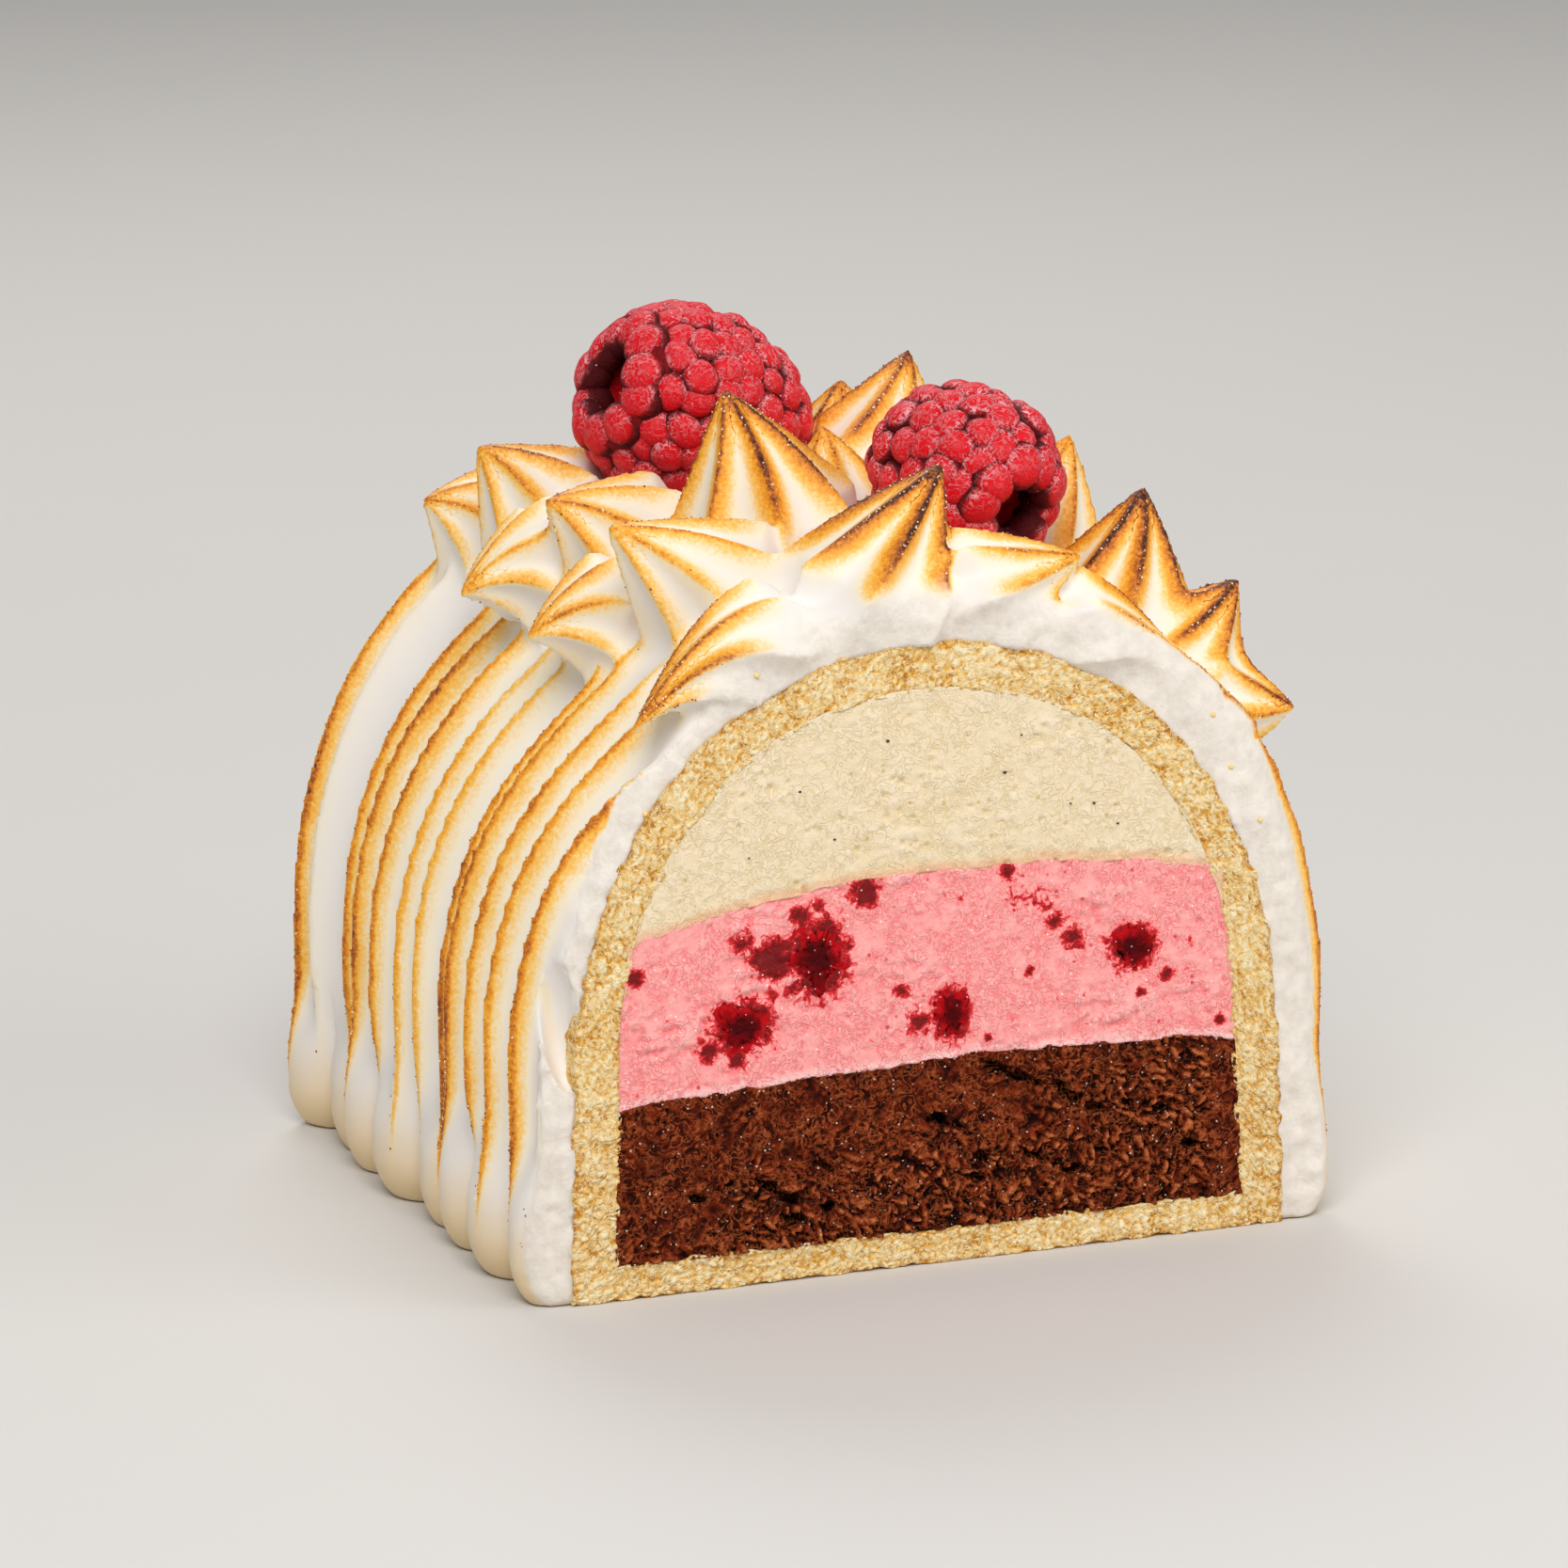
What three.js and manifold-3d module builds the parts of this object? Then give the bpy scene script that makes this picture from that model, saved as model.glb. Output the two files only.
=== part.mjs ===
// A slice of baked ice cream log. Chocolate, raspberry and vanilla ice cream fill a sponge jacket,
// which wears a coat of star-piped, torched meringue. Two frozen raspberries lie among its peaks.
//
// Millimetres, +Z up. The origin is the middle of the slice's flat underside. The slice was cut
// square to the log, so both cut faces are flat and square to Y. The one in front faces -Y.
import * as THREE from "three";
import { mergeVertices } from "three/addons/utils/BufferGeometryUtils.js";
import Module from "manifold-3d";

const wasm = await Module();
wasm.setup();

// Driving dimensions
const SLICE_DEPTH = 77; // from cut to cut
const FRONT = -SLICE_DEPTH / 2;
const JOINT_GAP = 0.3; // between pieces that touch

// The sponge's outline and the hollow that the ice cream fills. Each leans in from its foot to its
// spring line, and is a superellipse of the given power from there to its crown.
const SPONGE_ARCH = { foot: 37.6, spring: 37.1, springHeight: 18.7, crown: 62.7, floor: 0, power: 2.16 };
const FILL_ARCH = { foot: 33, spring: 32.1, springHeight: 22.9, crown: 58, floor: 3.5, power: 2.14 };
// An arch runs from -1 at its left foot to 1 at its right foot, with its spring lines here.
const SPRING_AT = 0.6;
const ARCH_STEPS = 48;

// The ice creams meet on low domes, highest a little right of the middle.
const DOME_MIDDLE = 4;
const DOME_REACH = 34;
const CHOCOLATE_DOME = { top: 20.9, droop: 1.4 };
const RASPBERRY_DOME = { top: 40, droop: 4.2 };

// Fruit in the raspberry ice cream, where a cut goes through it: across, up, half width, half height.
const FRUIT_DEPTH = 2.5;
const FRUIT_IN_FRONT = [
  { x: -19.6, z: 26.2, width: 2.8, height: 2.6 },
  { x: -11.5, z: 32.4, width: 2.7, height: 3.5 },
  { x: 2.3, z: 25.2, width: 1.8, height: 2.4 },
  { x: 21.6, z: 30.1, width: 2.2, height: 2.1 },
];
const FRUIT_BEHIND = [
  { x: 15, z: 27, width: 2.8, height: 2.4 },
  { x: -15.5, z: 30.5, width: 2.3, height: 2.8 },
  { x: -1.5, z: 34, width: 2, height: 1.9 },
];

// The meringue's sides are piped in broad ribbed strands, which run up from rounded feet.
const STRAND_PITCH = 33;
const STRAND_RIBS = 6;
const STRAND_MIDDLES = { left: [-28.5, 4.5, 37.5], right: [-33, 0, 33] };
const COAT_VALLEY = 2.1; // thickness between two strands
const STRAND_BULGE = 1.9; // how much a strand's middle stands above that
const RIB_HEIGHT = 1.2;
const COAT_CROWN = 4.6; // thickness under the piped peaks
const SHOULDER = { left: 0.8, right: 1.7 }; // extra thickness where the strands leave the crown
const SHOULDER_RISE = [0.12, 0.28]; // along the arch, where a shoulder swells
const SHOULDER_FALL = [0.3, 0.8]; // and where it runs out again
const STRAND_FADE = [0.26, 0.44]; // along the arch, where the strands come out of the crown
const FOOT_ROUND = 4;
const FOOT_TUCK = 0.35; // share of the thickness that the foot loses at the floor

// Piped peaks. Each swells to a belly that sits in the coat, and is pulled out to its own tip. A
// hooked one sets out square to the coat and bends over. They are listed from the front to the back.
const PEAKS = [
  { belly: [-16.4, -34, 63], tip: [-30.2, -37.5, 56.1], size: 7, hook: 0.7, turn: 0.6 },
  { belly: [8.7, -33.5, 66.5], tip: [17.9, -35.5, 69.4], size: 7, hook: 0.2, turn: 0.3 },
  { belly: [19.6, -34.2, 61.5], tip: [29, -35.5, 56.6], size: 6.5, hook: 0.7, turn: 0.8 },
  { belly: [-2.6, -31.2, 67.2], tip: [4.4, -32.5, 79.3], size: 9.5, hook: 0.2, turn: 0.1 },
  { belly: [35, -31, 52], tip: [41.5, -33.5, 51.5], size: 6.5, hook: 0.3, turn: 0.5 },
  { belly: [31.5, -28.5, 57], tip: [36.6, -30.5, 64.6], size: 7, hook: 0.1, turn: 0.7 },
  { belly: [26, -24.5, 62], tip: [28.6, -25.5, 73.7], size: 9, hook: 0, turn: 0.2 },
  { belly: [-15.1, -20.5, 65], tip: [-26.9, -22.5, 73.8], size: 9.5, hook: 0.1, turn: 0.4 },
  { belly: [-24.4, -11.5, 62.6], tip: [-32.6, -13.5, 61.4], size: 7, hook: 0.5, turn: 0.9 },
  { belly: [-6, -9.5, 70.4], tip: [-10.3, -10.5, 84.1], size: 10.5, hook: 0.2, turn: 0.3 },
  { belly: [34.5, -9, 55], tip: [42, -10.5, 54.5], size: 7, hook: 0.3, turn: 0.1 },
  { belly: [23.5, -6.5, 64.5], tip: [27.8, -8, 76], size: 9.2, hook: 0.1, turn: 0.6 },
  { belly: [-18, -0.5, 67.6], tip: [-26.6, -2.5, 72.8], size: 8.5, hook: 0.3, turn: 0.7 },
  { belly: [6, 2, 68], tip: [5, 3, 77], size: 8, hook: 0.1, turn: 0.2 },
  { belly: [-25.4, 5.5, 64.6], tip: [-34, 3.5, 62.6], size: 7.5, hook: 0.6, turn: 0.2 },
  { belly: [34.2, 10.5, 55.5], tip: [41.2, 11.5, 57], size: 7, hook: 0.3, turn: 0.8 },
  { belly: [14, 13, 69.6], tip: [18.6, 13.5, 82], size: 10, hook: 0.1, turn: 0.5 },
  { belly: [-5, 16, 68], tip: [-5, 16, 77], size: 9, hook: 0, turn: 0 },
  { belly: [26.5, 22, 62], tip: [32, 22.5, 70.5], size: 8.5, hook: 0.2, turn: 0.4 },
  { belly: [-19.4, 20.5, 67.4], tip: [-25.9, 21.5, 74.2], size: 8.5, hook: 0.1, turn: 0.3 },
  { belly: [17, 32, 66], tip: [17, 29.5, 76.5], size: 8.5, hook: 0.1, turn: 0.9 },
  { belly: [-4, 32.5, 68], tip: [-7, 33.5, 78], size: 8.5, hook: 0.1, turn: 0.2 },
  { belly: [-22, 33, 64], tip: [-28.6, 32, 66.9], size: 7.5, hook: 0.4, turn: 0.5 },
  { belly: [33.5, 31, 56], tip: [40, 32, 58.5], size: 7, hook: 0.3, turn: 0.1 },
];
const PEAK_RIBS = 7;
const PEAK_BACK = 0.9; // how far a peak reaches back from its belly, as a share of the belly's size
const PEAK_TAPER = 0.85;
const PEAK_FLUTE = 0.26; // depth of the flutes, as a share of the radius
const PEAK_TWIST = 0.35; // turn of the ribs from foot to tip, in radians
const PEAK_RINGS = [-0.75, 0, 0.25, 0.52, 0.8]; // from the back, past the belly at 0, to the tip at 1
const LOG_MIDDLE = 25; // height that the coat's normals point away from

// Raspberries, hollow where the stalk was. The axis points from the hollow to the blunt end.
const RASPBERRIES = [
  {
    name: "raspberry_behind",
    middle: [-3.7, 15.2, 76.9],
    axis: [0.9, 0.15, -0.4],
    length: 25,
    width: 21.2,
    turn: 0,
  },
  {
    name: "raspberry_in_front",
    middle: [12.8, -15.2, 74.7],
    axis: [-0.37, 0.86, 0.35],
    length: 19.5,
    width: 18.6,
    turn: 0.5,
  },
];
const DRUPELET_ROWS = 7;
const DRUPELETS_ROUND = 13;
const DRUPELET_RISE = 1.7; // from the groove between drupelets to their tops
const BERRY_HOLLOW = { width: 0.46, depth: 0.62 }; // as shares of the berry's width and length
const BERRY_BLUNT = 0.06; // share of the length that the last drupelet caps

const COLOURS = {
  sponge: 0xe3c684,
  chocolate: 0x4a2418,
  raspberryIce: 0xf58a92,
  vanilla: 0xf0e2b4,
  fruit: 0x7d0a14,
  meringue: 0xf7f2ea,
  raspberry: 0xc01631,
};

// Solids: a geometry becomes a solid for joining and cutting, and a geometry again afterwards.
function solidFrom(geometry) {
  const bare = geometry.clone();
  bare.deleteAttribute("normal");
  bare.deleteAttribute("uv");
  const merged = mergeVertices(bare, 1e-4);
  return new wasm.Manifold(
    new wasm.Mesh({
      numProp: 3,
      vertProperties: merged.getAttribute("position").array,
      triVerts: new Uint32Array(merged.index.array),
    }),
  );
}

function geometryFrom(solid) {
  const mesh = solid.getMesh();
  const geometry = new THREE.BufferGeometry();
  geometry.setAttribute("position", new THREE.BufferAttribute(mesh.vertProperties, 3));
  geometry.setIndex(new THREE.BufferAttribute(mesh.triVerts, 1));
  geometry.computeVertexNormals();
  return geometry;
}

function joined(solids) {
  return solids.reduce((whole, solid) => whole.add(solid));
}

// A grid of rings closed by a point at each end, as one geometry.
function ringBody(first, rings, last) {
  const count = rings[0].length;
  const points = [first, ...rings.flat(), last];
  const end = points.length - 1;
  const faces = [];
  for (let side = 0; side < count; side++) {
    const next = (side + 1) % count;
    faces.push(0, 1 + next, 1 + side);
    for (let ring = 0; ring + 1 < rings.length; ring++) {
      const low = 1 + ring * count;
      const high = low + count;
      faces.push(low + side, low + next, high + next, low + side, high + next, high + side);
    }
    const top = 1 + (rings.length - 1) * count;
    faces.push(top + side, top + next, end);
  }
  const geometry = new THREE.BufferGeometry().setFromPoints(points);
  geometry.setIndex(faces);
  return geometry;
}

// The log's cross-section
function archPoint(arch, along) {
  const side = along < 0 ? -1 : 1;
  const reach = Math.abs(along);
  if (reach > SPRING_AT) {
    const down = (reach - SPRING_AT) / (1 - SPRING_AT);
    const across = THREE.MathUtils.lerp(arch.spring, arch.foot, down);
    return new THREE.Vector2(side * across, THREE.MathUtils.lerp(arch.springHeight, arch.floor, down));
  }
  const rise = ((1 - reach / SPRING_AT) * Math.PI) / 2;
  const across = arch.spring * Math.cos(rise) ** (2 / arch.power);
  const up = (arch.crown - arch.springHeight) * Math.sin(rise) ** (2 / arch.power);
  return new THREE.Vector2(side * across, arch.springHeight + up);
}

function archNormal(arch, along) {
  const step = 0.01;
  const behind = archPoint(arch, Math.max(along - step, -1));
  const ahead = archPoint(arch, Math.min(along + step, 1));
  return new THREE.Vector2(behind.y - ahead.y, ahead.x - behind.x).normalize();
}

// The arch as a closed shape, moved out along its normals. A negative move makes it smaller.
function archShape(arch, out) {
  const points = [];
  for (let step = 0; step <= ARCH_STEPS; step++) {
    const along = 1 - (2 * step) / ARCH_STEPS;
    points.push(archPoint(arch, along).addScaledVector(archNormal(arch, along), out));
  }
  const floor = arch.floor - out;
  points[0].y = floor;
  points[ARCH_STEPS].y = floor;
  return new THREE.Shape(points);
}

// A shape in the plane of the cut, drawn out along the log.
function alongLog(shape, depth = SLICE_DEPTH) {
  const geometry = new THREE.ExtrudeGeometry(shape, { depth, bevelEnabled: false });
  geometry.rotateX(Math.PI / 2);
  geometry.translate(0, depth / 2, 0);
  return geometry;
}

// Sponge
function spongeJacket() {
  const shape = archShape(SPONGE_ARCH, 0);
  shape.holes.push(new THREE.Path(archShape(FILL_ARCH, 0).getPoints().reverse()));
  return alongLog(shape);
}

// Ice cream
function domeHeight(dome, x) {
  return dome.top - dome.droop * ((x - DOME_MIDDLE) / DOME_REACH) ** 2;
}

// Everything under a dome, and further to the sides than the ice cream reaches.
function underDome(dome, drop) {
  const reach = 40;
  const steps = 20;
  const points = [new THREE.Vector2(-reach, -1), new THREE.Vector2(reach, -1)];
  for (let step = 0; step <= steps; step++) {
    const x = reach - (2 * reach * step) / steps;
    points.push(new THREE.Vector2(x, domeHeight(dome, x) - drop));
  }
  return solidFrom(alongLog(new THREE.Shape(points), SLICE_DEPTH + 2));
}

// A lump of fruit whose middle is in the plane of a cut. The pocket that holds it is a gap larger.
function fruitLump(fruit, y, grow) {
  const lump = new THREE.IcosahedronGeometry(1, 1);
  lump.scale(fruit.width + grow, FRUIT_DEPTH + grow, fruit.height + grow);
  lump.rotateY(fruit.x);
  lump.translate(fruit.x, y, fruit.z);
  return solidFrom(lump);
}

// Meringue
function strandMiddles(along) {
  return along < 0 ? STRAND_MIDDLES.left : STRAND_MIDDLES.right;
}

// Places along the log where a strand has a rib's crest or the bottom of a flute.
function strandStations(middles) {
  const stations = [FRONT, -FRONT];
  for (const middle of middles) {
    for (let step = 0; step <= 2 * STRAND_RIBS; step++) {
      const angle = Math.PI * (step / (2 * STRAND_RIBS) - 0.5);
      stations.push(middle + (STRAND_PITCH / 2) * Math.sin(angle));
    }
  }
  const inside = stations.filter((y) => y >= FRONT && y <= -FRONT).sort((a, b) => a - b);
  return inside.filter((y, index) => index === 0 || y - inside[index - 1] > 0.4 || y === -FRONT);
}

function strandThickness(middles, y) {
  const nearest = middles.reduce((a, b) => (Math.abs(b - y) < Math.abs(a - y) ? b : a));
  const across = THREE.MathUtils.clamp((y - nearest) / (STRAND_PITCH / 2), -1, 1);
  const bulge = Math.sqrt(1 - across * across);
  const crest = Math.abs(Math.sin(STRAND_RIBS * (Math.asin(across) + Math.PI / 2)));
  return COAT_VALLEY + bulge * STRAND_BULGE + Math.sqrt(bulge) * crest * RIB_HEIGHT;
}

function coatThickness(along, y) {
  const strand = strandThickness(strandMiddles(along), y);
  const reach = Math.abs(along);
  const share = THREE.MathUtils.smoothstep(reach, ...STRAND_FADE);
  const swell = THREE.MathUtils.smoothstep(reach, ...SHOULDER_RISE);
  const shoulder = swell * (1 - THREE.MathUtils.smoothstep(reach, ...SHOULDER_FALL));
  const extra = shoulder * (along < 0 ? SHOULDER.left : SHOULDER.right);
  const full = THREE.MathUtils.lerp(COAT_CROWN, strand, share) + extra;
  const height = archPoint(SPONGE_ARCH, along).y;
  const tuck = height < FOOT_ROUND ? (1 - height / FOOT_ROUND) ** 2 : 0;
  return full * (1 - FOOT_TUCK * tuck);
}

// One half of the coat, from a foot to the crown, as a block that reaches into the sponge.
function coatHalf(side) {
  const places = [0, 0.1, 0.2, 0.28, 0.36, 0.44, 0.52, 0.6, 0.7, 0.8, 0.88, 0.94, 0.98, 1];
  const stations = strandStations(strandMiddles(side));
  const inside = -3;
  const rows = stations.map((y) => {
    const outer = places.map((place) => {
      const along = side * Math.max(place, 1e-6);
      const out = coatThickness(along, y);
      const point = archPoint(SPONGE_ARCH, along).addScaledVector(archNormal(SPONGE_ARCH, along), out);
      return new THREE.Vector3(place === 0 ? 0 : point.x, y, place === 1 ? 0 : point.y);
    });
    const inner = places.map((place) => {
      const along = side * Math.max(place, 1e-6);
      const point = archPoint(SPONGE_ARCH, along).addScaledVector(archNormal(SPONGE_ARCH, along), inside);
      return new THREE.Vector3(place === 0 ? 0 : point.x, y, place === 1 ? 0 : point.y);
    });
    const ring = [...outer, ...inner.reverse()];
    return side < 0 ? ring : ring.reverse();
  });
  return solidFrom(cappedRings(rows));
}

// Rings in parallel planes, closed by a flat strip of faces at each end. Each ring goes out along
// one run of points and back along another of the same length.
function cappedRings(rings) {
  const count = rings[0].length;
  const points = rings.flat();
  const faces = [];
  for (let ring = 0; ring + 1 < rings.length; ring++) {
    for (let side = 0; side < count; side++) {
      const next = (side + 1) % count;
      const low = ring * count;
      const high = low + count;
      faces.push(low + side, high + next, low + next, low + side, high + side, high + next);
    }
  }
  const last = (rings.length - 1) * count;
  for (let out = 0; out + 1 < count / 2; out++) {
    const back = count - 1 - out;
    faces.push(out, out + 1, back - 1, out, back - 1, back);
    faces.push(last + out, last + back - 1, last + out + 1, last + out, last + back, last + back - 1);
  }
  const geometry = new THREE.BufferGeometry().setFromPoints(points);
  geometry.setIndex(faces);
  return geometry;
}

function peakRadius(peak, t) {
  return t < 0 ? peak.size * Math.sqrt(1 - t * t) : peak.size * (1 - t) ** PEAK_TAPER;
}

// A peak is a teardrop with a star's section. Its rings stay square to one axis while their middles
// slide towards the tip, which bends it.
function pipedPeak(peak) {
  const belly = new THREE.Vector3(...peak.belly);
  const tip = new THREE.Vector3(...peak.tip);
  const outward = new THREE.Vector3(belly.x, 0, belly.z - LOG_MIDDLE).normalize();
  const pull = tip.clone().sub(belly);
  const axis = pull.clone().normalize().addScaledVector(outward, peak.hook).normalize();
  const rise = pull.dot(axis);
  const bend = pull.clone().addScaledVector(axis, -rise);
  const log = new THREE.Vector3(0, 1, 0);
  const across = log.clone().addScaledVector(axis, -log.dot(axis)).normalize();
  const over = axis.clone().cross(across);
  const middleAt = (t) => {
    const back = t < 0 ? PEAK_BACK * peak.size : rise;
    return belly.clone().addScaledVector(axis, back * t).addScaledVector(bend, t < 0 ? 0 : t * t);
  };
  const rings = PEAK_RINGS.map((t) => {
    const radius = peakRadius(peak, t);
    return Array.from({ length: 2 * PEAK_RIBS }, (_, corner) => {
      const angle = (Math.PI * (corner + 2 * peak.turn)) / PEAK_RIBS + PEAK_TWIST * t;
      const out = radius * (corner % 2 ? 1 - PEAK_FLUTE : 1);
      const ray = across.clone().multiplyScalar(Math.cos(angle)).addScaledVector(over, Math.sin(angle));
      return middleAt(t).addScaledVector(ray, out);
    });
  });
  return solidFrom(ringBody(middleAt(-1), rings, tip));
}

// The slab between the two cuts, above the floor.
function sliceSlab() {
  const slab = new THREE.BoxGeometry(200, SLICE_DEPTH, 200);
  slab.translate(0, 0, 100);
  return solidFrom(slab);
}

function meringueCoat() {
  const piped = joined([coatHalf(-1), coatHalf(1), ...PEAKS.map(pipedPeak)]);
  const jacket = archShape(SPONGE_ARCH, JOINT_GAP);
  const room = solidFrom(alongLog(jacket, SLICE_DEPTH + 20));
  const berries = joined(RASPBERRIES.map(berryRoom));
  return geometryFrom(piped.subtract(room).subtract(berries));
}

// Raspberries, made about their own middle with the blunt end up and the hollow below
function berryRadius(berry, share) {
  const up = 2 * share - 1;
  const taper = 1 - 0.14 * up;
  return (berry.width / 2) * taper * Math.sqrt(Math.max(0, 1 - Math.abs(up) ** 2.6));
}

// How high a drupelet's dome stands at a place on the berry, from 0 in the groove to 1 on top. Each
// row is turned by half a drupelet from the row below.
function drupeletDome(berry, row, up, turn) {
  const place = (turn + berry.turn) * DRUPELETS_ROUND + 0.5 * (row % 2);
  const across = 2 * Math.abs(place - Math.round(place));
  return Math.sqrt(Math.max(0, 1 - 0.6 * across ** 2 - 0.6 * up ** 2));
}

function berryRing(height, radiusAt) {
  const corners = 4 * DRUPELETS_ROUND;
  return Array.from({ length: corners }, (_, corner) => {
    const turn = corner / corners;
    const radius = radiusAt(turn);
    const angle = 2 * Math.PI * turn;
    return new THREE.Vector3(radius * Math.cos(angle), radius * Math.sin(angle), height);
  });
}

// The surface runs from the deep end of the hollow to its rim, then up the outside to the blunt end.
function berryGeometry(berry) {
  const bottom = -berry.length / 2;
  const deep = berry.length * BERRY_HOLLOW.depth;
  const mouth = (berry.width * BERRY_HOLLOW.width) / 2;
  const hollow = [
    berryRing(bottom + 0.85 * deep, () => 0.5 * mouth),
    berryRing(bottom + 0.4 * deep, () => 0.9 * mouth),
    berryRing(bottom + 0.4, () => mouth),
  ];
  const steps = 3 * DRUPELET_ROWS;
  const outside = Array.from({ length: steps }, (_, step) => {
    const share = 0.04 + ((1 - BERRY_BLUNT - 0.04) * (step + 0.5)) / steps;
    const row = Math.floor(step / 3);
    const up = ((step % 3) - 1) * 0.67;
    return berryRing(bottom + share * berry.length, (turn) => {
      return berryRadius(berry, share) - DRUPELET_RISE * (1 - drupeletDome(berry, row, up, turn));
    });
  });
  const deepEnd = new THREE.Vector3(0, 0, bottom + deep);
  const bluntEnd = new THREE.Vector3(0, 0, bottom + berry.length);
  return ringBody(deepEnd, [...hollow, ...outside], bluntEnd);
}

function berryTurn(berry) {
  const axis = new THREE.Vector3(...berry.axis).normalize();
  return new THREE.Quaternion().setFromUnitVectors(new THREE.Vector3(0, 0, 1), axis);
}

// The pocket that a raspberry presses into the meringue.
function berryRoom(berry) {
  const room = new THREE.SphereGeometry(1, 24, 16);
  room.rotateX(Math.PI / 2);
  room.scale(berry.width / 2 + 1.2, berry.width / 2 + 1.2, berry.length / 2 + 1);
  room.applyQuaternion(berryTurn(berry));
  room.translate(...berry.middle);
  return solidFrom(room);
}

// The slice
const slice = new THREE.Group();

function addPiece(name, geometry, color, roughness) {
  const material = new THREE.MeshStandardMaterial({ color, roughness, metalness: 0 });
  const mesh = new THREE.Mesh(geometry, material);
  mesh.name = name;
  slice.add(mesh);
  return mesh;
}

const filling = solidFrom(alongLog(archShape(FILL_ARCH, -JOINT_GAP)));
const upToChocolate = underDome(CHOCOLATE_DOME, 0);
const upToRaspberry = underDome(RASPBERRY_DOME, 0);
const fruits = [
  ...FRUIT_IN_FRONT.map((fruit) => ({ fruit, y: FRONT })),
  ...FRUIT_BEHIND.map((fruit) => ({ fruit, y: -FRONT })),
];
const pockets = joined(fruits.map(({ fruit, y }) => fruitLump(fruit, y, JOINT_GAP)));
const raspberryIce = filling
  .intersect(underDome(RASPBERRY_DOME, JOINT_GAP))
  .subtract(underDome(CHOCOLATE_DOME, -JOINT_GAP))
  .subtract(pockets);

addPiece("sponge_jacket", spongeJacket(), COLOURS.sponge, 0.95);
addPiece("chocolate_ice_cream", geometryFrom(filling.intersect(upToChocolate)), COLOURS.chocolate, 0.6);
addPiece("raspberry_ice_cream", geometryFrom(raspberryIce), COLOURS.raspberryIce, 0.55);
addPiece("vanilla_ice_cream", geometryFrom(filling.subtract(upToRaspberry)), COLOURS.vanilla, 0.55);
fruits.forEach(({ fruit, y }, index) => {
  const lump = fruitLump(fruit, y, 0).intersect(sliceSlab());
  addPiece(`fruit_lump_${index + 1}`, geometryFrom(lump), COLOURS.fruit, 0.35);
});
addPiece("meringue_coat", meringueCoat(), COLOURS.meringue, 0.45);
for (const berry of RASPBERRIES) {
  const mesh = addPiece(berry.name, berryGeometry(berry), COLOURS.raspberry, 0.5);
  mesh.position.set(...berry.middle);
  mesh.quaternion.copy(berryTurn(berry));
}

export default slice;
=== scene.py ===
"""A slice of ice cream log: three ice creams in a sponge jacket, torched piped meringue and raspberries.

Sizes are in millimetres until a mesh is made. The shown cut faces -Y, and the log runs along Y.
"""
import math
from collections import namedtuple

import bpy
import numpy as np
from mathutils import Matrix, Vector
from mathutils.bvhtree import BVHTree


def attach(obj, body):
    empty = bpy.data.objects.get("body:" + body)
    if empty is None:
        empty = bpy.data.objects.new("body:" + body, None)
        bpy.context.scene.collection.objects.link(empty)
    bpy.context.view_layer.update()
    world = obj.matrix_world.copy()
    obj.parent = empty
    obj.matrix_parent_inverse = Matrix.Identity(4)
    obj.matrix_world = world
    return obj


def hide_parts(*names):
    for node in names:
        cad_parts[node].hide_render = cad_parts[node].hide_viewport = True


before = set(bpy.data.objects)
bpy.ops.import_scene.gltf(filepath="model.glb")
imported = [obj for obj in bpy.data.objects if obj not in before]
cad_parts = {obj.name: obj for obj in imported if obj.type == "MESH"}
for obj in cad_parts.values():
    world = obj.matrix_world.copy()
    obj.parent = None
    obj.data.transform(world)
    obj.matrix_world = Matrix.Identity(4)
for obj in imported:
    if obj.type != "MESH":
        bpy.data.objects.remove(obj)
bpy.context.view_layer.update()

MM = 0.001
HALF_DEPTH = 38.5  # from the middle of the slice to a cut
CUTS = (0.0, 50.0)  # where the unevenness of the front cut and of the back cut is read

# The sponge's outline, and the hollow that the ice cream fills
SPRING_AT = 0.6
SPONGE_ARCH = dict(foot=37.6, spring=37.1, spring_height=18.7, crown=62.7, floor=0.0, power=2.16)
FILL_ARCH = dict(foot=33.0, spring=32.1, spring_height=22.9, crown=58.0, floor=3.5, power=2.14)
SPONGE_GRID = dict(arch=680, floor=330, layers=23)
SPONGE_RAGGED = dict(reach=0.32, size=1.2, seed=11)
SKIN_DARK = 0.16  # how much darker the sponge is along its two edges

# The ice creams meet on low domes, and each sinks a little into what is beside and below it
DOME_MIDDLE = 4.0
DOME_REACH = 34.0
CHOCOLATE_DOME = dict(top=20.9, droop=1.4)
RASPBERRY_DOME = dict(top=40.0, droop=4.2)
CHOCOLATE_BOTTOM = 3.4
SIDE_BITE = 0.25
SEAM_BITE = 0.12
# Points across and up a layer's face
CHOCOLATE_GRID = (330, 88)
RASPBERRY_GRID = (300, 92)
VANILLA_GRID = (330, 92)
VANILLA_REACH = 0.499  # how far along the arch the vanilla goes on each side
VANILLA_MIDDLE = 30.0  # height that the vanilla's arch is widened about

# Fruit at the two cuts: across, up, half width, half height
FRUIT_DEPTH = 2.5
FRUIT_GRID = (96, 26)  # points round a lump, and rings of them
FRUIT_IN_FRONT = (
    (-19.6, 26.2, 2.8, 2.6), (-11.5, 32.4, 2.7, 3.5), (2.3, 25.2, 1.8, 2.4), (21.6, 30.1, 2.2, 2.1),
)
FRUIT_BEHIND = ((15.0, 27.0, 2.8, 2.4), (-15.5, 30.5, 2.3, 2.8), (-1.5, 34.0, 2.0, 1.9))
FRUIT_POCKET = 0.9  # how far the ice cream steps back behind the fruit
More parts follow.
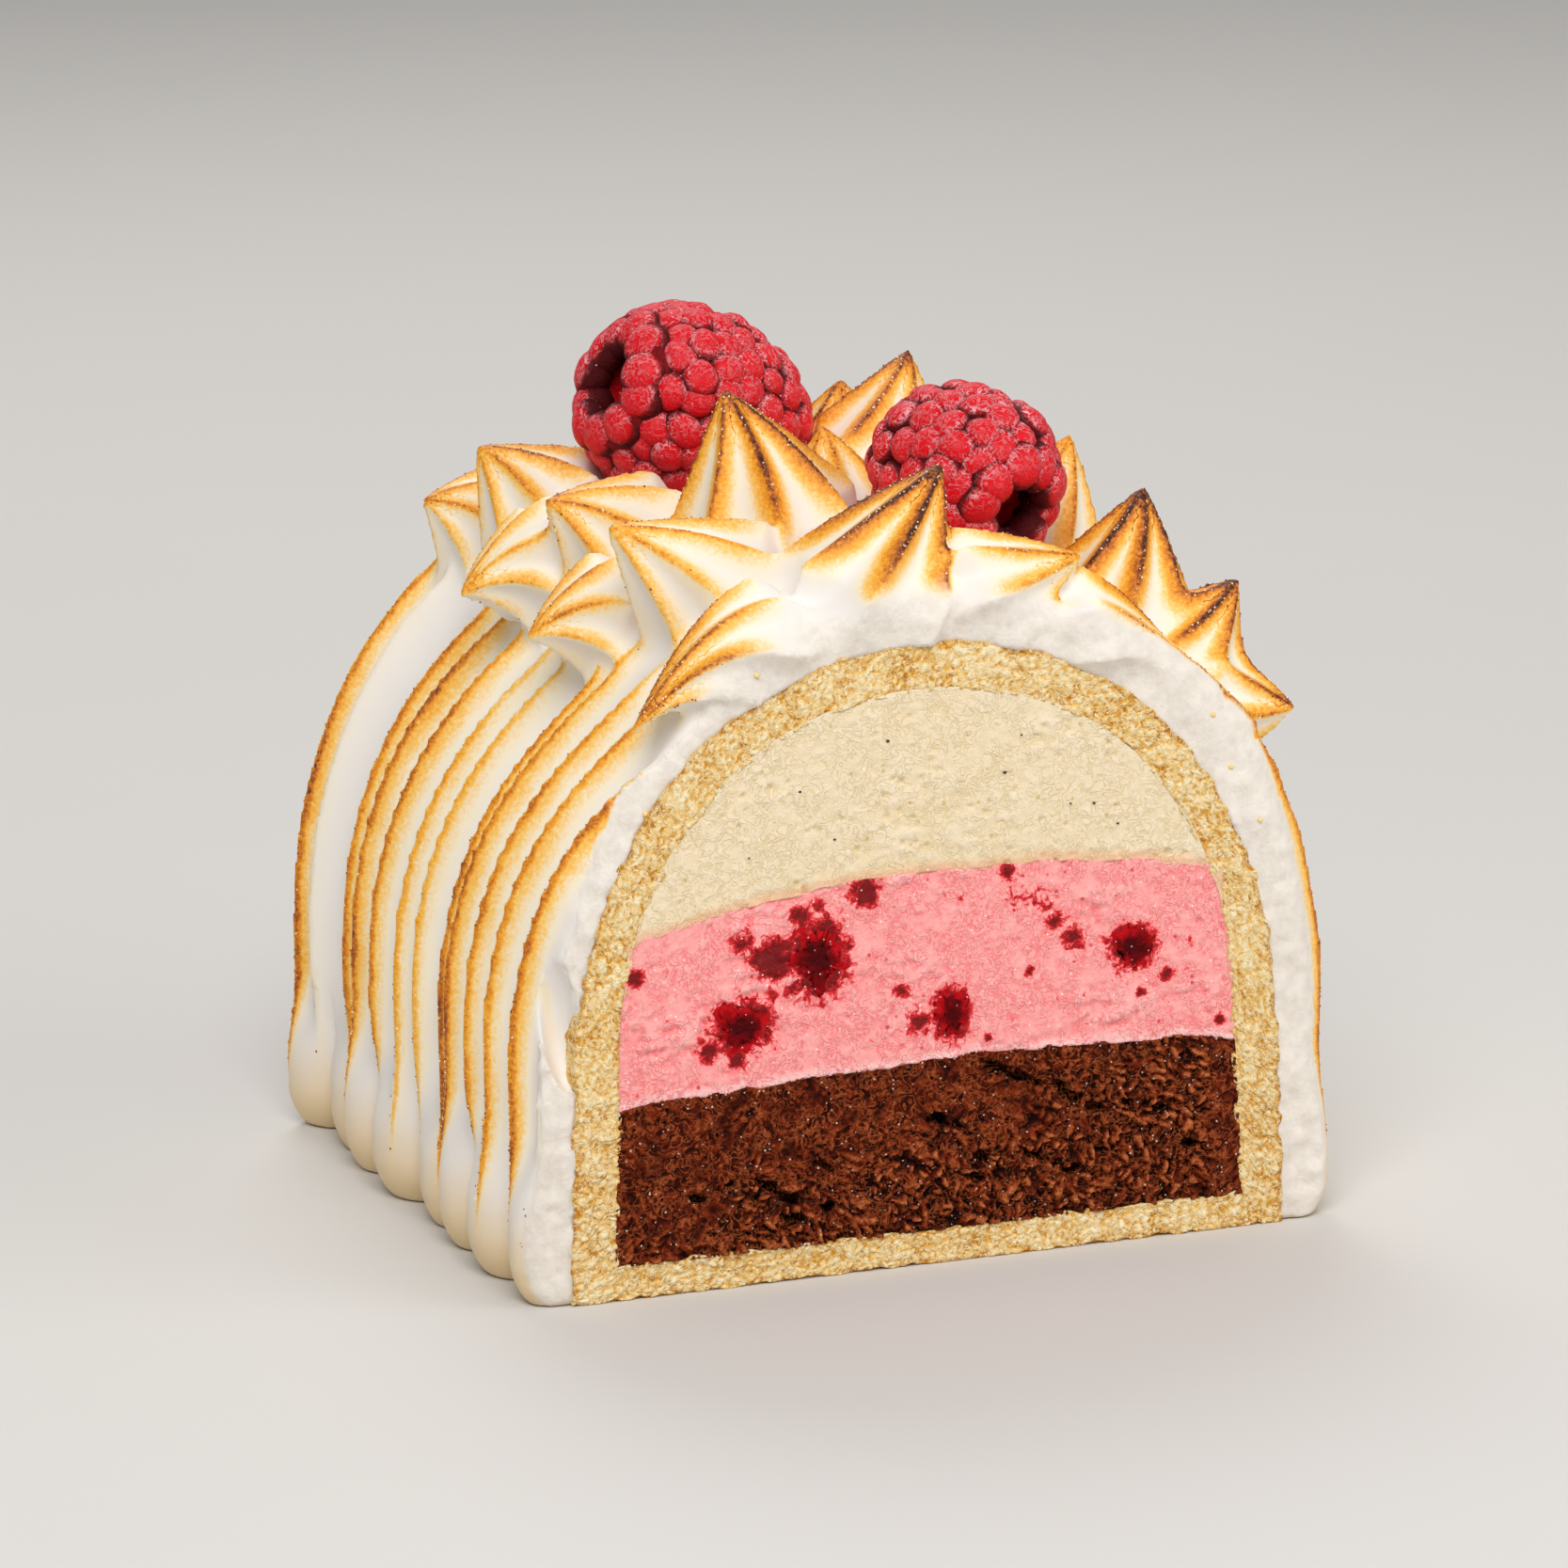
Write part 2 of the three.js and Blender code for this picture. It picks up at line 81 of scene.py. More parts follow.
# Juice that has run into the ice cream round the fruit: across, up, reach, strength
JUICE_IN_FRONT = (
    (-6.6, 38.5, 1.5, 1.0), (-13.1, 36.7, 1.3, 0.8), (-11.5, 37.4, 0.8, 0.7), (8.4, 39.1, 0.9, 0.9),
    (9.6, 36.7, 1.7, 0.45), (12.0, 35.6, 1.3, 0.5), (13.4, 33.6, 1.1, 0.8), (15.2, 31.7, 1.2, 0.75),
    (-19.4, 34.8, 1.2, 0.7), (-30.6, 32.3, 0.9, 0.9), (25.2, 26.9, 0.7, 0.8), (22.3, 25.4, 0.5, 0.8),
    (-2.9, 28.1, 0.8, 0.7), (-1.3, 24.9, 1.3, 0.85), (6.2, 22.5, 0.5, 0.8), (10.6, 28.7, 0.5, 0.7),
    (3.4, 36.9, 0.5, 0.5), (-23.2, 24.3, 1.2, 0.9), (-20.4, 22.9, 1.0, 0.8), (-16.2, 32.6, 2.2, 1.0),
    (-16.6, 28.9, 1.0, 0.6), (30.9, 21.6, 0.6, 0.8), (27.7, 30.1, 0.5, 0.5), (-14.4, 29.6, 1.0, 0.5),
)
JUICE_BEHIND = (
    (8.5, 31.0, 1.2, 0.8), (22.0, 33.0, 0.8, 0.7), (-24.0, 26.0, 1.0, 0.8), (-8.0, 25.0, 0.9, 0.7),
)
# Holes that the knife tore in the chocolate: across, up, half length
CHOCOLATE_HOLES = (
    (6.8, 19.3, 1.3), (10.1, 17.6, 1.3), (14.5, 15.8, 1.6), (17.5, 13.9, 1.1), (1.3, 14.4, 1.2),
    (3.0, 13.5, 1.0), (5.6, 10.2, 0.9), (4.2, 8.7, 1.0), (11.1, 9.8, 1.0), (14.9, 7.9, 1.3),
    (24.4, 13.1, 0.9), (27.7, 9.2, 0.9), (21.1, 14.0, 1.0), (-17.3, 9.6, 1.4), (-15.4, 8.6, 1.1),
    (-11.3, 11.3, 0.9), (-10.8, 6.9, 1.2), (-14.7, 6.1, 1.2), (-21.0, 10.3, 0.8), (-24.3, 9.1, 0.9),
)
HOLE_DEPTH = 1.5
# Vanilla seeds that show on the front cut: across, up
VANILLA_SEEDS = (
    (-4.0, 53.4), (10.0, 52.7), (8.2, 49.1), (-13.2, 49.2), (-9.7, 44.1), (-18.6, 43.1), (20.1, 42.8),
    (15.1, 45.3), (17.6, 45.1),
)
SEED_SIZE = 0.11
SEED_HALF_DEPTH = 0.16
SEED_CORNERS = 8

# The meringue's ribs on each side: place along the log, how dark they are torched
LEFT_RIBS = (
    (-37.6, 0.2), (-33.0, 0.9), (-25.9, 0.75), (-19.4, 0.8), (-11.6, 1.0), (-8.2, 1.0), (-1.3, 0.45),
    (3.7, 0.5), (11.7, 0.95), (18.6, 1.0), (23.0, 0.85), (33.0, 0.1), (37.6, 1.0), (45.5, 0.6),
)
RIGHT_RIBS = (
    (-40.0, 0.0), (-36.3, 1.0), (-28.6, 0.9), (-21.2, 0.7), (-16.6, 0.9), (-11.4, 0.8), (-4.4, 0.6),
    (4.1, 0.85), (11.8, 0.9), (16.5, 0.8), (21.5, 0.9), (28.6, 0.6), (37.4, 0.9), (45.5, 0.6),
)
# Round lobes that the strands start from, and the strands' middles: place along the log
LEFT_LOBES = (-35.7, -24.3, -13.9, -5.7, 6.9, 17.6, 25.6, 37.7)
RIGHT_LOBES = (-36.0, -25.4, -15.2, -4.0, 6.6, 17.9, 27.6, 37.4)
LEFT_STRANDS = (-23.5, 9.5, 42.5)
RIGHT_STRANDS = (-33.0, 0.0, 33.0)
STRAND_PITCH = 33.0
SIDES = {-1: (LEFT_RIBS, LEFT_LOBES, LEFT_STRANDS), 1: (RIGHT_RIBS, RIGHT_LOBES, RIGHT_STRANDS)}
COAT_VALLEY = 2.5
STRAND_BULGE = 1.9
RIB_HEIGHT = 0.8
FLUTE_SHARE = 0.42  # depth of a flute, as a share of the gap between its ribs
FLUTE_DEEPEST = 3.0
COAT_THINNEST = 0.7
COAT_CROWN = 4.6
SPONGE_BITE = 0.35  # how far the coat sinks into the sponge's crumb
SHOULDER = {-1: 0.8, 1: 2.2}  # extra thickness on each side, where the strands leave the crown
SHOULDER_DIP = {-1: 1.6, 1: 0.0}  # how much of it is missing at the front, high up
DIP_FALL = (0.28, 0.46)
SHOULDER_RISE = (0.12, 0.28)
SHOULDER_FALL = (0.3, 0.8)
STRAND_FADE = (0.14, 0.32)
LOBE_ROUND = 5.0  # height over which a lobe's end rounds in
LOBE_TUCK = 0.74  # how far round it goes before it meets the floor
LOBE_SWELL = 0.9  # how much a lobe stands out from the strand above it
LOBE_TOP = (7.0, 19.0)  # heights between which the lobes sharpen into ribs
LOBE_SHARE = 0.54  # of the gap to the next lobe, that a lobe reaches over
LOBE_WIDEST = 8.0
# How softly the coat turns into its front cut, on the left and elsewhere, and into its back cut
CUT_ROUND = dict(front_left=3.0, front=2.6, back=0.8)
CUT_SINK = 0.15  # how far the coat's cut lies behind the ice cream's
# How far forward each side's ribs have leant by the top of LEAN_HEIGHTS
RIB_LEAN = {-1: 5.0, 1: 0.5}
LEAN_HEIGHTS = (28.0, 52.0)
LEAN_FADE = (8.0, 36.0)  # places along the log between which the lean dies out
AIR_POCKET = dict(middle=(-38.3, -38.5, 28.6), half=(2.0, 3.6, 7.2), lean=-0.13)

# Piped peaks. torch says how dark they are.
Peak = namedtuple("Peak", "belly tip size hook turn torch")
PEAKS = (
    Peak((-16.4, -34.0, 63.0), (-30.2, -37.5, 56.1), 7.0, 0.7, 0.6, 0.85),
    Peak((8.7, -33.5, 66.5), (17.9, -35.5, 69.4), 7.0, 0.2, 0.3, 0.8),
    Peak((19.6, -34.2, 61.5), (29.0, -35.5, 56.6), 6.5, 0.7, 0.8, 1.05),
    Peak((-2.6, -31.2, 67.2), (4.4, -32.5, 79.3), 9.5, 0.2, 0.1, 1.25),
    Peak((35.0, -31.0, 52.0), (41.5, -33.5, 51.5), 6.5, 0.3, 0.5, 1.1),
    Peak((31.5, -28.5, 57.0), (36.6, -30.5, 64.6), 7.0, 0.1, 0.7, 1.4),
    Peak((26.0, -24.5, 62.0), (28.6, -25.5, 73.7), 9.0, 0.0, 0.2, 1.45),
    Peak((-15.1, -20.5, 65.0), (-26.9, -22.5, 73.8), 9.5, 0.1, 0.4, 0.55),
    Peak((-24.4, -11.5, 62.6), (-32.6, -13.5, 61.4), 7.0, 0.5, 0.9, 0.7),
    Peak((-6.0, -9.5, 70.4), (-10.3, -10.5, 84.1), 10.5, 0.2, 0.3, 1.15),
    Peak((34.5, -9.0, 55.0), (42.0, -10.5, 54.5), 7.0, 0.3, 0.1, 0.9),
    Peak((23.5, -6.5, 64.5), (27.8, -8.0, 76.0), 9.2, 0.1, 0.6, 0.6),
    Peak((-18.0, -0.5, 67.6), (-26.6, -2.5, 72.8), 8.5, 0.3, 0.7, 0.7),
    Peak((6.0, 2.0, 68.0), (5.0, 3.0, 77.0), 8.0, 0.1, 0.2, 0.7),
    Peak((-25.4, 5.5, 64.6), (-34.0, 3.5, 62.6), 7.5, 0.6, 0.2, 0.65),
    Peak((34.2, 10.5, 55.5), (41.2, 11.5, 57.0), 7.0, 0.3, 0.8, 0.9),
    Peak((14.0, 13.0, 69.6), (18.6, 13.5, 82.0), 10.0, 0.1, 0.5, 1.1),
    Peak((-5.0, 16.0, 68.0), (-5.0, 16.0, 77.0), 9.0, 0.0, 0.0, 0.6),
    Peak((26.5, 22.0, 62.0), (32.0, 22.5, 70.5), 8.5, 0.2, 0.4, 0.9),
    Peak((-19.4, 20.5, 67.4), (-25.9, 21.5, 74.2), 8.5, 0.1, 0.3, 0.75),
    Peak((17.0, 32.0, 66.0), (17.0, 29.5, 76.5), 8.5, 0.1, 0.9, 0.9),
    Peak((-4.0, 32.5, 68.0), (-7.0, 33.5, 78.0), 8.5, 0.1, 0.2, 0.9),
    Peak((-22.0, 33.0, 64.0), (-28.6, 32.0, 66.9), 7.5, 0.4, 0.5, 0.7),
    Peak((33.5, 31.0, 56.0), (40.0, 32.0, 58.5), 7.0, 0.3, 0.1, 0.8),
)
PEAK_RIBS = 7
PEAK_BACK = 0.9
PEAK_TAPER = 0.85
PEAK_FLUTE = 0.26
PEAK_TWIST = 0.35
LOG_MIDDLE = 25.0
PIPED_BLEND = 2.2  # how softly piped forms run into each other
PIPING_STEP = 0.42
PIPING_LOW = np.array([-46.2, -43.7, -1.3])
PIPING_HIGH = np.array([46.2, 43.7, 90.3])
MERINGUE_TRIANGLES = 188000

# The flame: how wide the gold beside a rib is, how that grows, how suddenly it ends, and how strong the gold
# and the burnt line on the crest are
RIB_FLAME = dict(width=0.72, widening=0.016, power=1.5, toast=0.31, char=0.26)
PEAK_FLAME = dict(width=0.46, widening=0.127, power=1.9, toast=0.54, char=0.36)
FLAME_HEIGHTS = (2.5, 13.0)  # between these the flame reaches the ribs more and more
CREST_SHIFT = 0.2  # how far behind a rib's crest its burnt line runs
FOOT_HEIGHTS = (1.0, 12.0)  # between these the creamy foot turns white

# Sugar beads along the burnt crests, and drops of syrup on the front of the coat: across, up
BEAD_PITCH = 0.26
BEAD_SIZE = 0.115
BEADS_KEPT = 2.4  # share of places with a bead, for each unit of burning
SYRUP_DROPS = ((-17.6, 61.3), (-29.0, 48.5), (32.4, 47.3), (35.3, 41.7), (30.5, 52.8))
SYRUP_SIZE = 0.36
SYRUP_SHADE = 0.66

# Raspberries: the axis points from the hollow to the blunt end
RASPBERRIES = {
    "raspberry_behind": dict(
        middle=(-3.7, 15.2, 76.9), axis=(0.9, 0.15, -0.4), length=25.0, width=21.2, turn=0.0
    ),
    "raspberry_in_front": dict(
        middle=(12.8, -15.2, 74.7), axis=(-0.37, 0.86, 0.35), length=19.5, width=18.6, turn=0.5
    ),
}
DRUPELET_PITCH = 3.7  # from one drupelet to the next
DRUPELET_SINK = 1.35  # from the drupelets' tops to the flesh between them
DRUPELET_HALF = dict(rim=0.68, others=0.585, depth=0.5)  # shares of the pitch
DRUPELET_UNEVEN = 0.22
ROW_SHARE = 0.87  # of the pitch, from one row of drupelets to the next
RIM_SHARE = 0.13  # of the length, where the rows above the rim start
HOLLOW_WIDTH = 0.46
HOLLOW_DEPTH = 0.62
# The hollow's sides: share of its depth, share of its width
HOLLOW_SIDES = ((0.94, 0.3), (0.82, 0.56), (0.62, 0.78), (0.4, 0.9), (0.25, 0.97), (0.1, 1.0))
POCKET_ROOM = 0.2  # between a raspberry and the meringue that it presses in
CORE_TURNS = 60
CORE_RINGS = 28


# Unevenness

def grit(ix, iy, iz, seed):
    """A fixed share from 0 to 1 for each whole-number place."""
    mixed = (ix * 374761393 + iy * 668265263 + iz * 1440662683 + seed * 69069) & 0xFFFFFFFF
    mixed = ((mixed ^ (mixed >> 13)) * 1274126177) & 0xFFFFFFFF
    return ((mixed ^ (mixed >> 16)) & 0xFFFF) / 65535.0


def drift(places, size, seed):
    """Smooth unevenness from -1 to 1, with swells of the given size."""
    scaled = places / np.asarray(size, float)
    low = np.floor(scaled).astype(np.int64)
    part = scaled - low
    part = part * part * (3 - 2 * part)
    total = np.zeros(len(places))
    for corner in range(8):
        step = np.array([corner & 1, corner >> 1 & 1, corner >> 2 & 1])
        weight = np.where(step, part, 1 - part).prod(1)
        total += weight * grit(*(low + step).T, seed)
    return 2 * total - 1


def grains(places, size, seed):
    """Packed grains: how far the nearest one's middle is, how much further the next, and its own share."""
    scaled = places / np.asarray(size, float)
    low = np.floor(scaled).astype(np.int64)
    first = np.full(len(places), 9.0)
    second = first.copy()
    own = np.zeros(len(places))
    for step in np.ndindex(3, 3, 3):
        cell = (low + np.array(step) - 1).T
        middle = np.stack([cell[k] + grit(*cell, seed + k) for k in range(3)], 1)
        far = np.sqrt(((scaled - middle) ** 2).sum(1))
        nearer = far < first
        second = np.where(nearer, first, np.minimum(second, far))
        own = np.where(nearer, grit(*cell, seed + 3), own)
        first = np.where(nearer, far, first)
    return first, second - first, own


def ease(value, low, high):
    part = np.clip((value - low) / (high - low), 0, 1)
    return part * part * (3 - 2 * part)


def dent(near, size):
    """A round dip or lump: 1 in its middle and 0 from the given distance on."""
    return np.clip(1 - (near / size) ** 2, 0, 1)


def unit(vector):
    return np.asarray(vector, float) / np.linalg.norm(vector)


# The log's cross-section

def arch_line(arch, along):
    """Points of an arch, from its left foot at -1 over its crown at 0 to its right foot at 1."""
    foot, spring, spring_height, crown, floor, power = arch.values()
    reach = np.abs(along)
    down = np.clip((reach - SPRING_AT) / (1 - SPRING_AT), 0, 1)
    rise = (1 - np.minimum(reach / SPRING_AT, 1)) * math.pi / 2
    curve = 2 / power
    straight = reach > SPRING_AT
    x = np.where(straight, spring + (foot - spring) * down, spring * np.abs(np.cos(rise)) ** curve)
    z = spring_height + np.where(
        straight, (floor - spring_height) * down, (crown - spring_height) * np.sin(rise) ** curve
    )
    return np.sign(along) * x, z


def arch_width(arch, z):
    x, height = arch_line(arch, np.linspace(1, 0, 900))
    return np.interp(z, height, x)


def seam(dome, seed):
    """The height where two ice creams meet, wavering as spread ice cream does."""
    def height(x):
        places = np.stack([x.ravel(), np.zeros(x.size), np.zeros(x.size)], 1)
        waver = 0.3 * drift(places, 4.5, seed) + 0.18 * drift(places, 1.4, seed + 1)
        level = dome["top"] - dome["droop"] * ((x - DOME_MIDDLE) / DOME_REACH) ** 2
        return level + waver.reshape(x.shape)
    return height


chocolate_seam = seam(CHOCOLATE_DOME, 31)
vanilla_seam = seam(RASPBERRY_DOME, 41)


# Meshes and nodes

def set_marks(mesh, marks):
    """Writes a number or a vector on each vertex for each mark."""
    for mark, values in marks.items():
        values = np.asarray(values, np.float32)
        kind, field = ("FLOAT", "value") if values.ndim == 1 else ("FLOAT_VECTOR", "vector")
        mesh.attributes.new(mark, kind, "POINT").data.foreach_set(field, values.ravel())


def link_object(name, data):
    item = bpy.data.objects.new(name, data)
    bpy.context.scene.collection.objects.link(item)
    return item


def make_piece(name, vertices, faces, material, marks=None):
    """A smooth mesh, from millimetres, with its marks."""
    mesh = bpy.data.meshes.new(name)
    mesh.from_pydata((np.asarray(vertices) * MM).tolist(), [], faces)
    set_marks(mesh, marks or {})
    mesh.materials.append(material)
    mesh.shade_smooth()
    mesh.update()
    return link_object(name, mesh)


def place_piece(piece, slot, *nodes):
    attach(piece, "root")
    for node in nodes:
        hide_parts(node)


def read_mesh(mesh):
    """A mesh's vertices in millimetres, its vertex normals and its faces."""
    vertices, normals = np.empty((2, len(mesh.vertices) * 3), np.float32)
    mesh.vertices.foreach_get("co", vertices)
    mesh.vertex_normals.foreach_get("vector", normals)
    faces = [list(face.vertices) for face in mesh.polygons]
    return vertices.reshape(-1, 3) / MM, normals.reshape(-1, 3), faces


def settle(piece):
    """Turns a piece and its modifiers into a plain mesh."""
    bpy.context.view_layer.update()
    mesh = bpy.data.meshes.new_from_object(piece.evaluated_get(bpy.context.evaluated_depsgraph_get()))
    piece.modifiers.clear()
    old = piece.data
    piece.data = mesh
    bpy.data.meshes.remove(old)


def ring_faces(turns, rings):
    """Faces over rings of points, closed by one point before the first ring and one after the last.

    Those two points come after the rings' own.
    """
    grid = np.arange(turns * rings).reshape(rings, turns)
    after = np.roll(grid, -1, 1)
    faces = np.stack([grid[:-1], after[:-1], after[1:], grid[1:]], -1).reshape(-1, 4).tolist()
    first, last = turns * rings, turns * rings + 1
    faces += [[first, b, a] for a, b in zip(grid[0].tolist(), after[0].tolist())]
    return faces + [[last, a, b] for a, b in zip(grid[-1].tolist(), after[-1].tolist())]


def linear(colour):
    """An sRGB hex colour as linear red, green, blue and 1."""
    parts = [int(colour[k:k + 2], 16) / 255 for k in (0, 2, 4)]
    return [*(c / 12.92 if c <= 0.04045 else ((c + 0.055) / 1.055) ** 2.4 for c in parts), 1.0]


def add(tree, kind, sockets=(), stops=(), out=0, **settings):
    """Adds a node with its settings and a ramp's stops, and returns one of its outputs.

    sockets are in order or by name. Each holds a value, or is linked to another node's output.
    """
    node = tree.nodes.new(kind)
    for name, value in settings.items():
        setattr(node, name, value)
    for socket, value in sockets.items() if isinstance(sockets, dict) else enumerate(sockets):
        if isinstance(value, bpy.types.NodeSocket):
            tree.links.new(value, node.inputs[socket])
        else:
            node.inputs[socket].default_value = value
    for index, (place, colour) in enumerate(stops):
        ramp = node.color_ramp.elements
        ends = {0: 0, len(stops) - 1: -1}
        stop = ramp[ends[index]] if index in ends else ramp.new(place)
        stop.position, stop.color = place, linear(colour)
    return node.outputs[out] if node.outputs else None


def per(size):
    """A texture's scale for a pattern of the given size in millimetres."""
    return 1 / (size * MM)


def start_material(name):
    """A material, its tree, and the place on the piece that its patterns read."""
    material = bpy.data.materials.new(name)
    material.use_nodes = True
    tree = material.node_tree
    tree.nodes.clear()
    return material, tree, add(tree, "ShaderNodeTexCoord", out="Object")


def finish_material(tree, shader, bump=None):
    """Ends a material in its shader. bump is a height, how strong it shows, and its depth in millimetres."""
    if bump:
        height, strength, depth = bump
        roughened = {"Height": height, "Strength": strength, "Distance": depth * MM}
        shader = {**shader, "Normal": add(tree, "ShaderNodeBump", roughened)}
    surface = add(tree, "ShaderNodeBsdfPrincipled", shader)
    add(tree, "ShaderNodeOutputMaterial", {"Surface": surface})


def lit_through(weight, colours, depth):
    """Shader values for food that light sinks into. depth is in millimetres."""
    return {"Subsurface Weight": weight, "Subsurface Radius": colours, "Subsurface Scale": depth * MM}


# Patterns that several materials share

def curls(tree, place, size, width):
    """Curling lines, 1 on a line and 0 off it, where a warped noise crosses its middle value."""
    warp = {"Vector": place, "Scale": per(size), "Detail": 0.7, "Distortion": 1.5}
    warped = add(tree, "ShaderNodeTexNoise", warp)
    away = add(tree, "ShaderNodeMath", [warped, 0.5], operation="SUBTRACT")
    away = add(tree, "ShaderNodeMath", [away], operation="ABSOLUTE")
    return add(tree, "ShaderNodeMapRange", [away, 0.0, width, 1.0, 0.0])


def specks(tree, place, size, share, reach):
    """Scattered dots: a share of places that lie a size apart have one, which reaches out that many sizes."""
    far = add(tree, "ShaderNodeTexVoronoi", {"Vector": place, "Scale": per(size)}, out="Distance")
    own = add(tree, "ShaderNodeSeparateColor", [far.node.outputs["Color"]])
    chosen = add(tree, "ShaderNodeMath", [own, share], operation="LESS_THAN")
    near = add(tree, "ShaderNodeMapRange", [far, 0.55 * reach, reach, 1.0, 0.0])
    return add(tree, "ShaderNodeMath", [chosen, near], operation="MULTIPLY")


# Materials

# How a node that mixes colours is set. Its socket 0 is the amount, 6 the lower colour and 7 the upper one.
COLOURS = dict(data_type="RGBA", out=2)


def torched_meringue():
    # Whipped egg white and sugar, piped and torched: dense satin white, golden beside the ribs, and dark
    # brown in a thin line along their crests, turning creamier towards the foot.
    material, tree, place = start_material("torched_meringue")
    toast, char, crest, foot, torn = (
        add(tree, "ShaderNodeAttribute", out="Fac", attribute_name=mark)
        for mark in ("toast", "char", "crest", "foot", "torn")
    )
    fine = {"Vector": place, "Scale": per(0.4), "Detail": 3.0, "Roughness": 0.7}
    speckle = add(tree, "ShaderNodeTexNoise", fine)
    swing = add(tree, "ShaderNodeMapRange", [speckle, 0.3, 0.7, 0.62, 1.38])
    browned = add(tree, "ShaderNodeMath", [toast, swing], operation="MULTIPLY")
    # The burnt line wanders about the crest
    stray = add(tree, "ShaderNodeTexNoise", {"Vector": place, "Scale": per(1.3), "Detail": 2.0})
    stray = add(tree, "ShaderNodeMapRange", [stray, 0.2, 0.8, -0.13, 0.13])
    off = add(tree, "ShaderNodeMath", [crest, stray], operation="ADD")
    off = add(tree, "ShaderNodeMath", [off], operation="ABSOLUTE")
    line = add(tree, "ShaderNodeMapRange", [off, 0.08, 0.38, 1.0, 0.0])
    line = add(tree, "ShaderNodeMath", [line, char], operation="MULTIPLY")
    line = add(tree, "ShaderNodeMath", [line, swing], operation="MULTIPLY")
    burnt = add(tree, "ShaderNodeMath", [browned, line], operation="ADD")
    colour = add(tree, "ShaderNodeValToRGB", [burnt], stops=(
        (0.0, "f1ebe5"), (0.07, "f8ebd0"), (0.17, "fccb6c"), (0.29, "f7ab2a"),
        (0.43, "e28a16"), (0.6, "b8620c"), (0.8, "7c3608"), (1.0, "421a05"),
    ))
    creamy = {0: foot, 6: colour, 7: linear("f5e0b6")}
    colour = add(tree, "ShaderNodeMix", creamy, blend_type="MULTIPLY", **COLOURS)
    # Torn froth where it was cut. Its colour is painted shade: a noise darkens it in patches, standing in for
    # the shading of the froth's waves
    coarse = {"Vector": place, "Scale": per(1.3), "Detail": 4.0, "Roughness": 0.6}
    froth = add(tree, "ShaderNodeTexNoise", coarse)
    bare = add(tree, "ShaderNodeValToRGB", [froth], stops=((0.34, "e0d7cb"), (0.62, "ece4d9")))
    colour = add(tree, "ShaderNodeMix", {0: torn, 6: colour, 7: bare}, **COLOURS)
    # A crust of fine sugar, with a shine, where it was browned
    gloss = add(tree, "ShaderNodeMapRange", [burnt, 0.0, 0.7, 0.52, 0.3])
    froth = add(tree, "ShaderNodeMath", [froth, torn], operation="MULTIPLY")
    crust = add(tree, "ShaderNodeMath", [speckle, burnt], operation="MULTIPLY")
    rough = add(tree, "ShaderNodeMath", [froth, crust], operation="ADD")
    shader = {"Base Color": colour, "Roughness": gloss, "IOR": 1.45}
    finish_material(tree, {**shader, **lit_through(0.12, (1.0, 0.75, 0.5), 2.5)}, bump=(rough, 0.7, 0.3))
    return material


def burnt_sugar():
    # Beads of sugar that the flame boiled out of the ribs: amber to almost black, and shiny. The palest
    # beads, cream to near white, are painted highlights that stand in for glints.
    material, tree, place = start_material("burnt_sugar")
    own = add(tree, "ShaderNodeAttribute", out="Fac", attribute_name="seat_shade")
    grain = add(tree, "ShaderNodeTexNoise", {"Vector": place, "Scale": per(0.15), "Detail": 1.0})
    shade = add(tree, "ShaderNodeMath", [grain, 0.2, own], operation="MULTIPLY_ADD")
    # The top of this ramp is painted highlight: beads with high tones come out cream and near white
    colour = add(tree, "ShaderNodeValToRGB", [shade], stops=(
        (0.15, "662b06"), (0.42, "ac5c14"), (0.58, "dc9c38"), (0.78, "fad98e"), (1.0, "fff4d8"),
    ))
    finish_material(tree, {"Base Color": colour, "IOR": 1.5, "Roughness": 0.2})
    return material


def sponge_cake():
    # Dry open crumb, no shine. It is lighter on raised crumbs and pale curls and darker gold in the gaps
    # between them: the crumb's own golden tone, with painted light and painted shade from its relief.
    material, tree, place = start_material("sponge_cake")
    depth = add(tree, "ShaderNodeAttribute", out="Fac", attribute_name="relief")
    open_ = {"Vector": place, "Scale": per(0.62), "Detail": 3.0, "Roughness": 0.65, "Distortion": 0.9}
    crumb = add(tree, "ShaderNodeTexNoise", open_)
    # Painted shade and light: the relief mark darkens the gaps and lightens the raised crumbs
    level = add(tree, "ShaderNodeMath", [crumb, 0.9, depth], operation="MULTIPLY_ADD")
    colour = add(tree, "ShaderNodeValToRGB", [level], stops=(
        (0.42, "b8741a"), (0.56, "d89c3c"), (0.7, "ecc274"), (0.84, "f7dba2"), (1.0, "fbebc8"),
    ))
    curl = curls(tree, place, 0.75, 0.075)
    height = add(tree, "ShaderNodeMath", [curl, 0.35, crumb], operation="MULTIPLY_ADD")
    colour = add(tree, "ShaderNodeMix", {0: curl, 6: colour, 7: linear("fbe8bc")}, **COLOURS)
    shader = {
        "Base Color": colour, "IOR": 1.4, "Roughness": 0.9, "Specular IOR Level": 0.2,
        **lit_through(0.08, (1.0, 0.7, 0.3), 1.2),
    }
    finish_material(tree, shader, bump=(height, 0.7, 0.3))
    return material


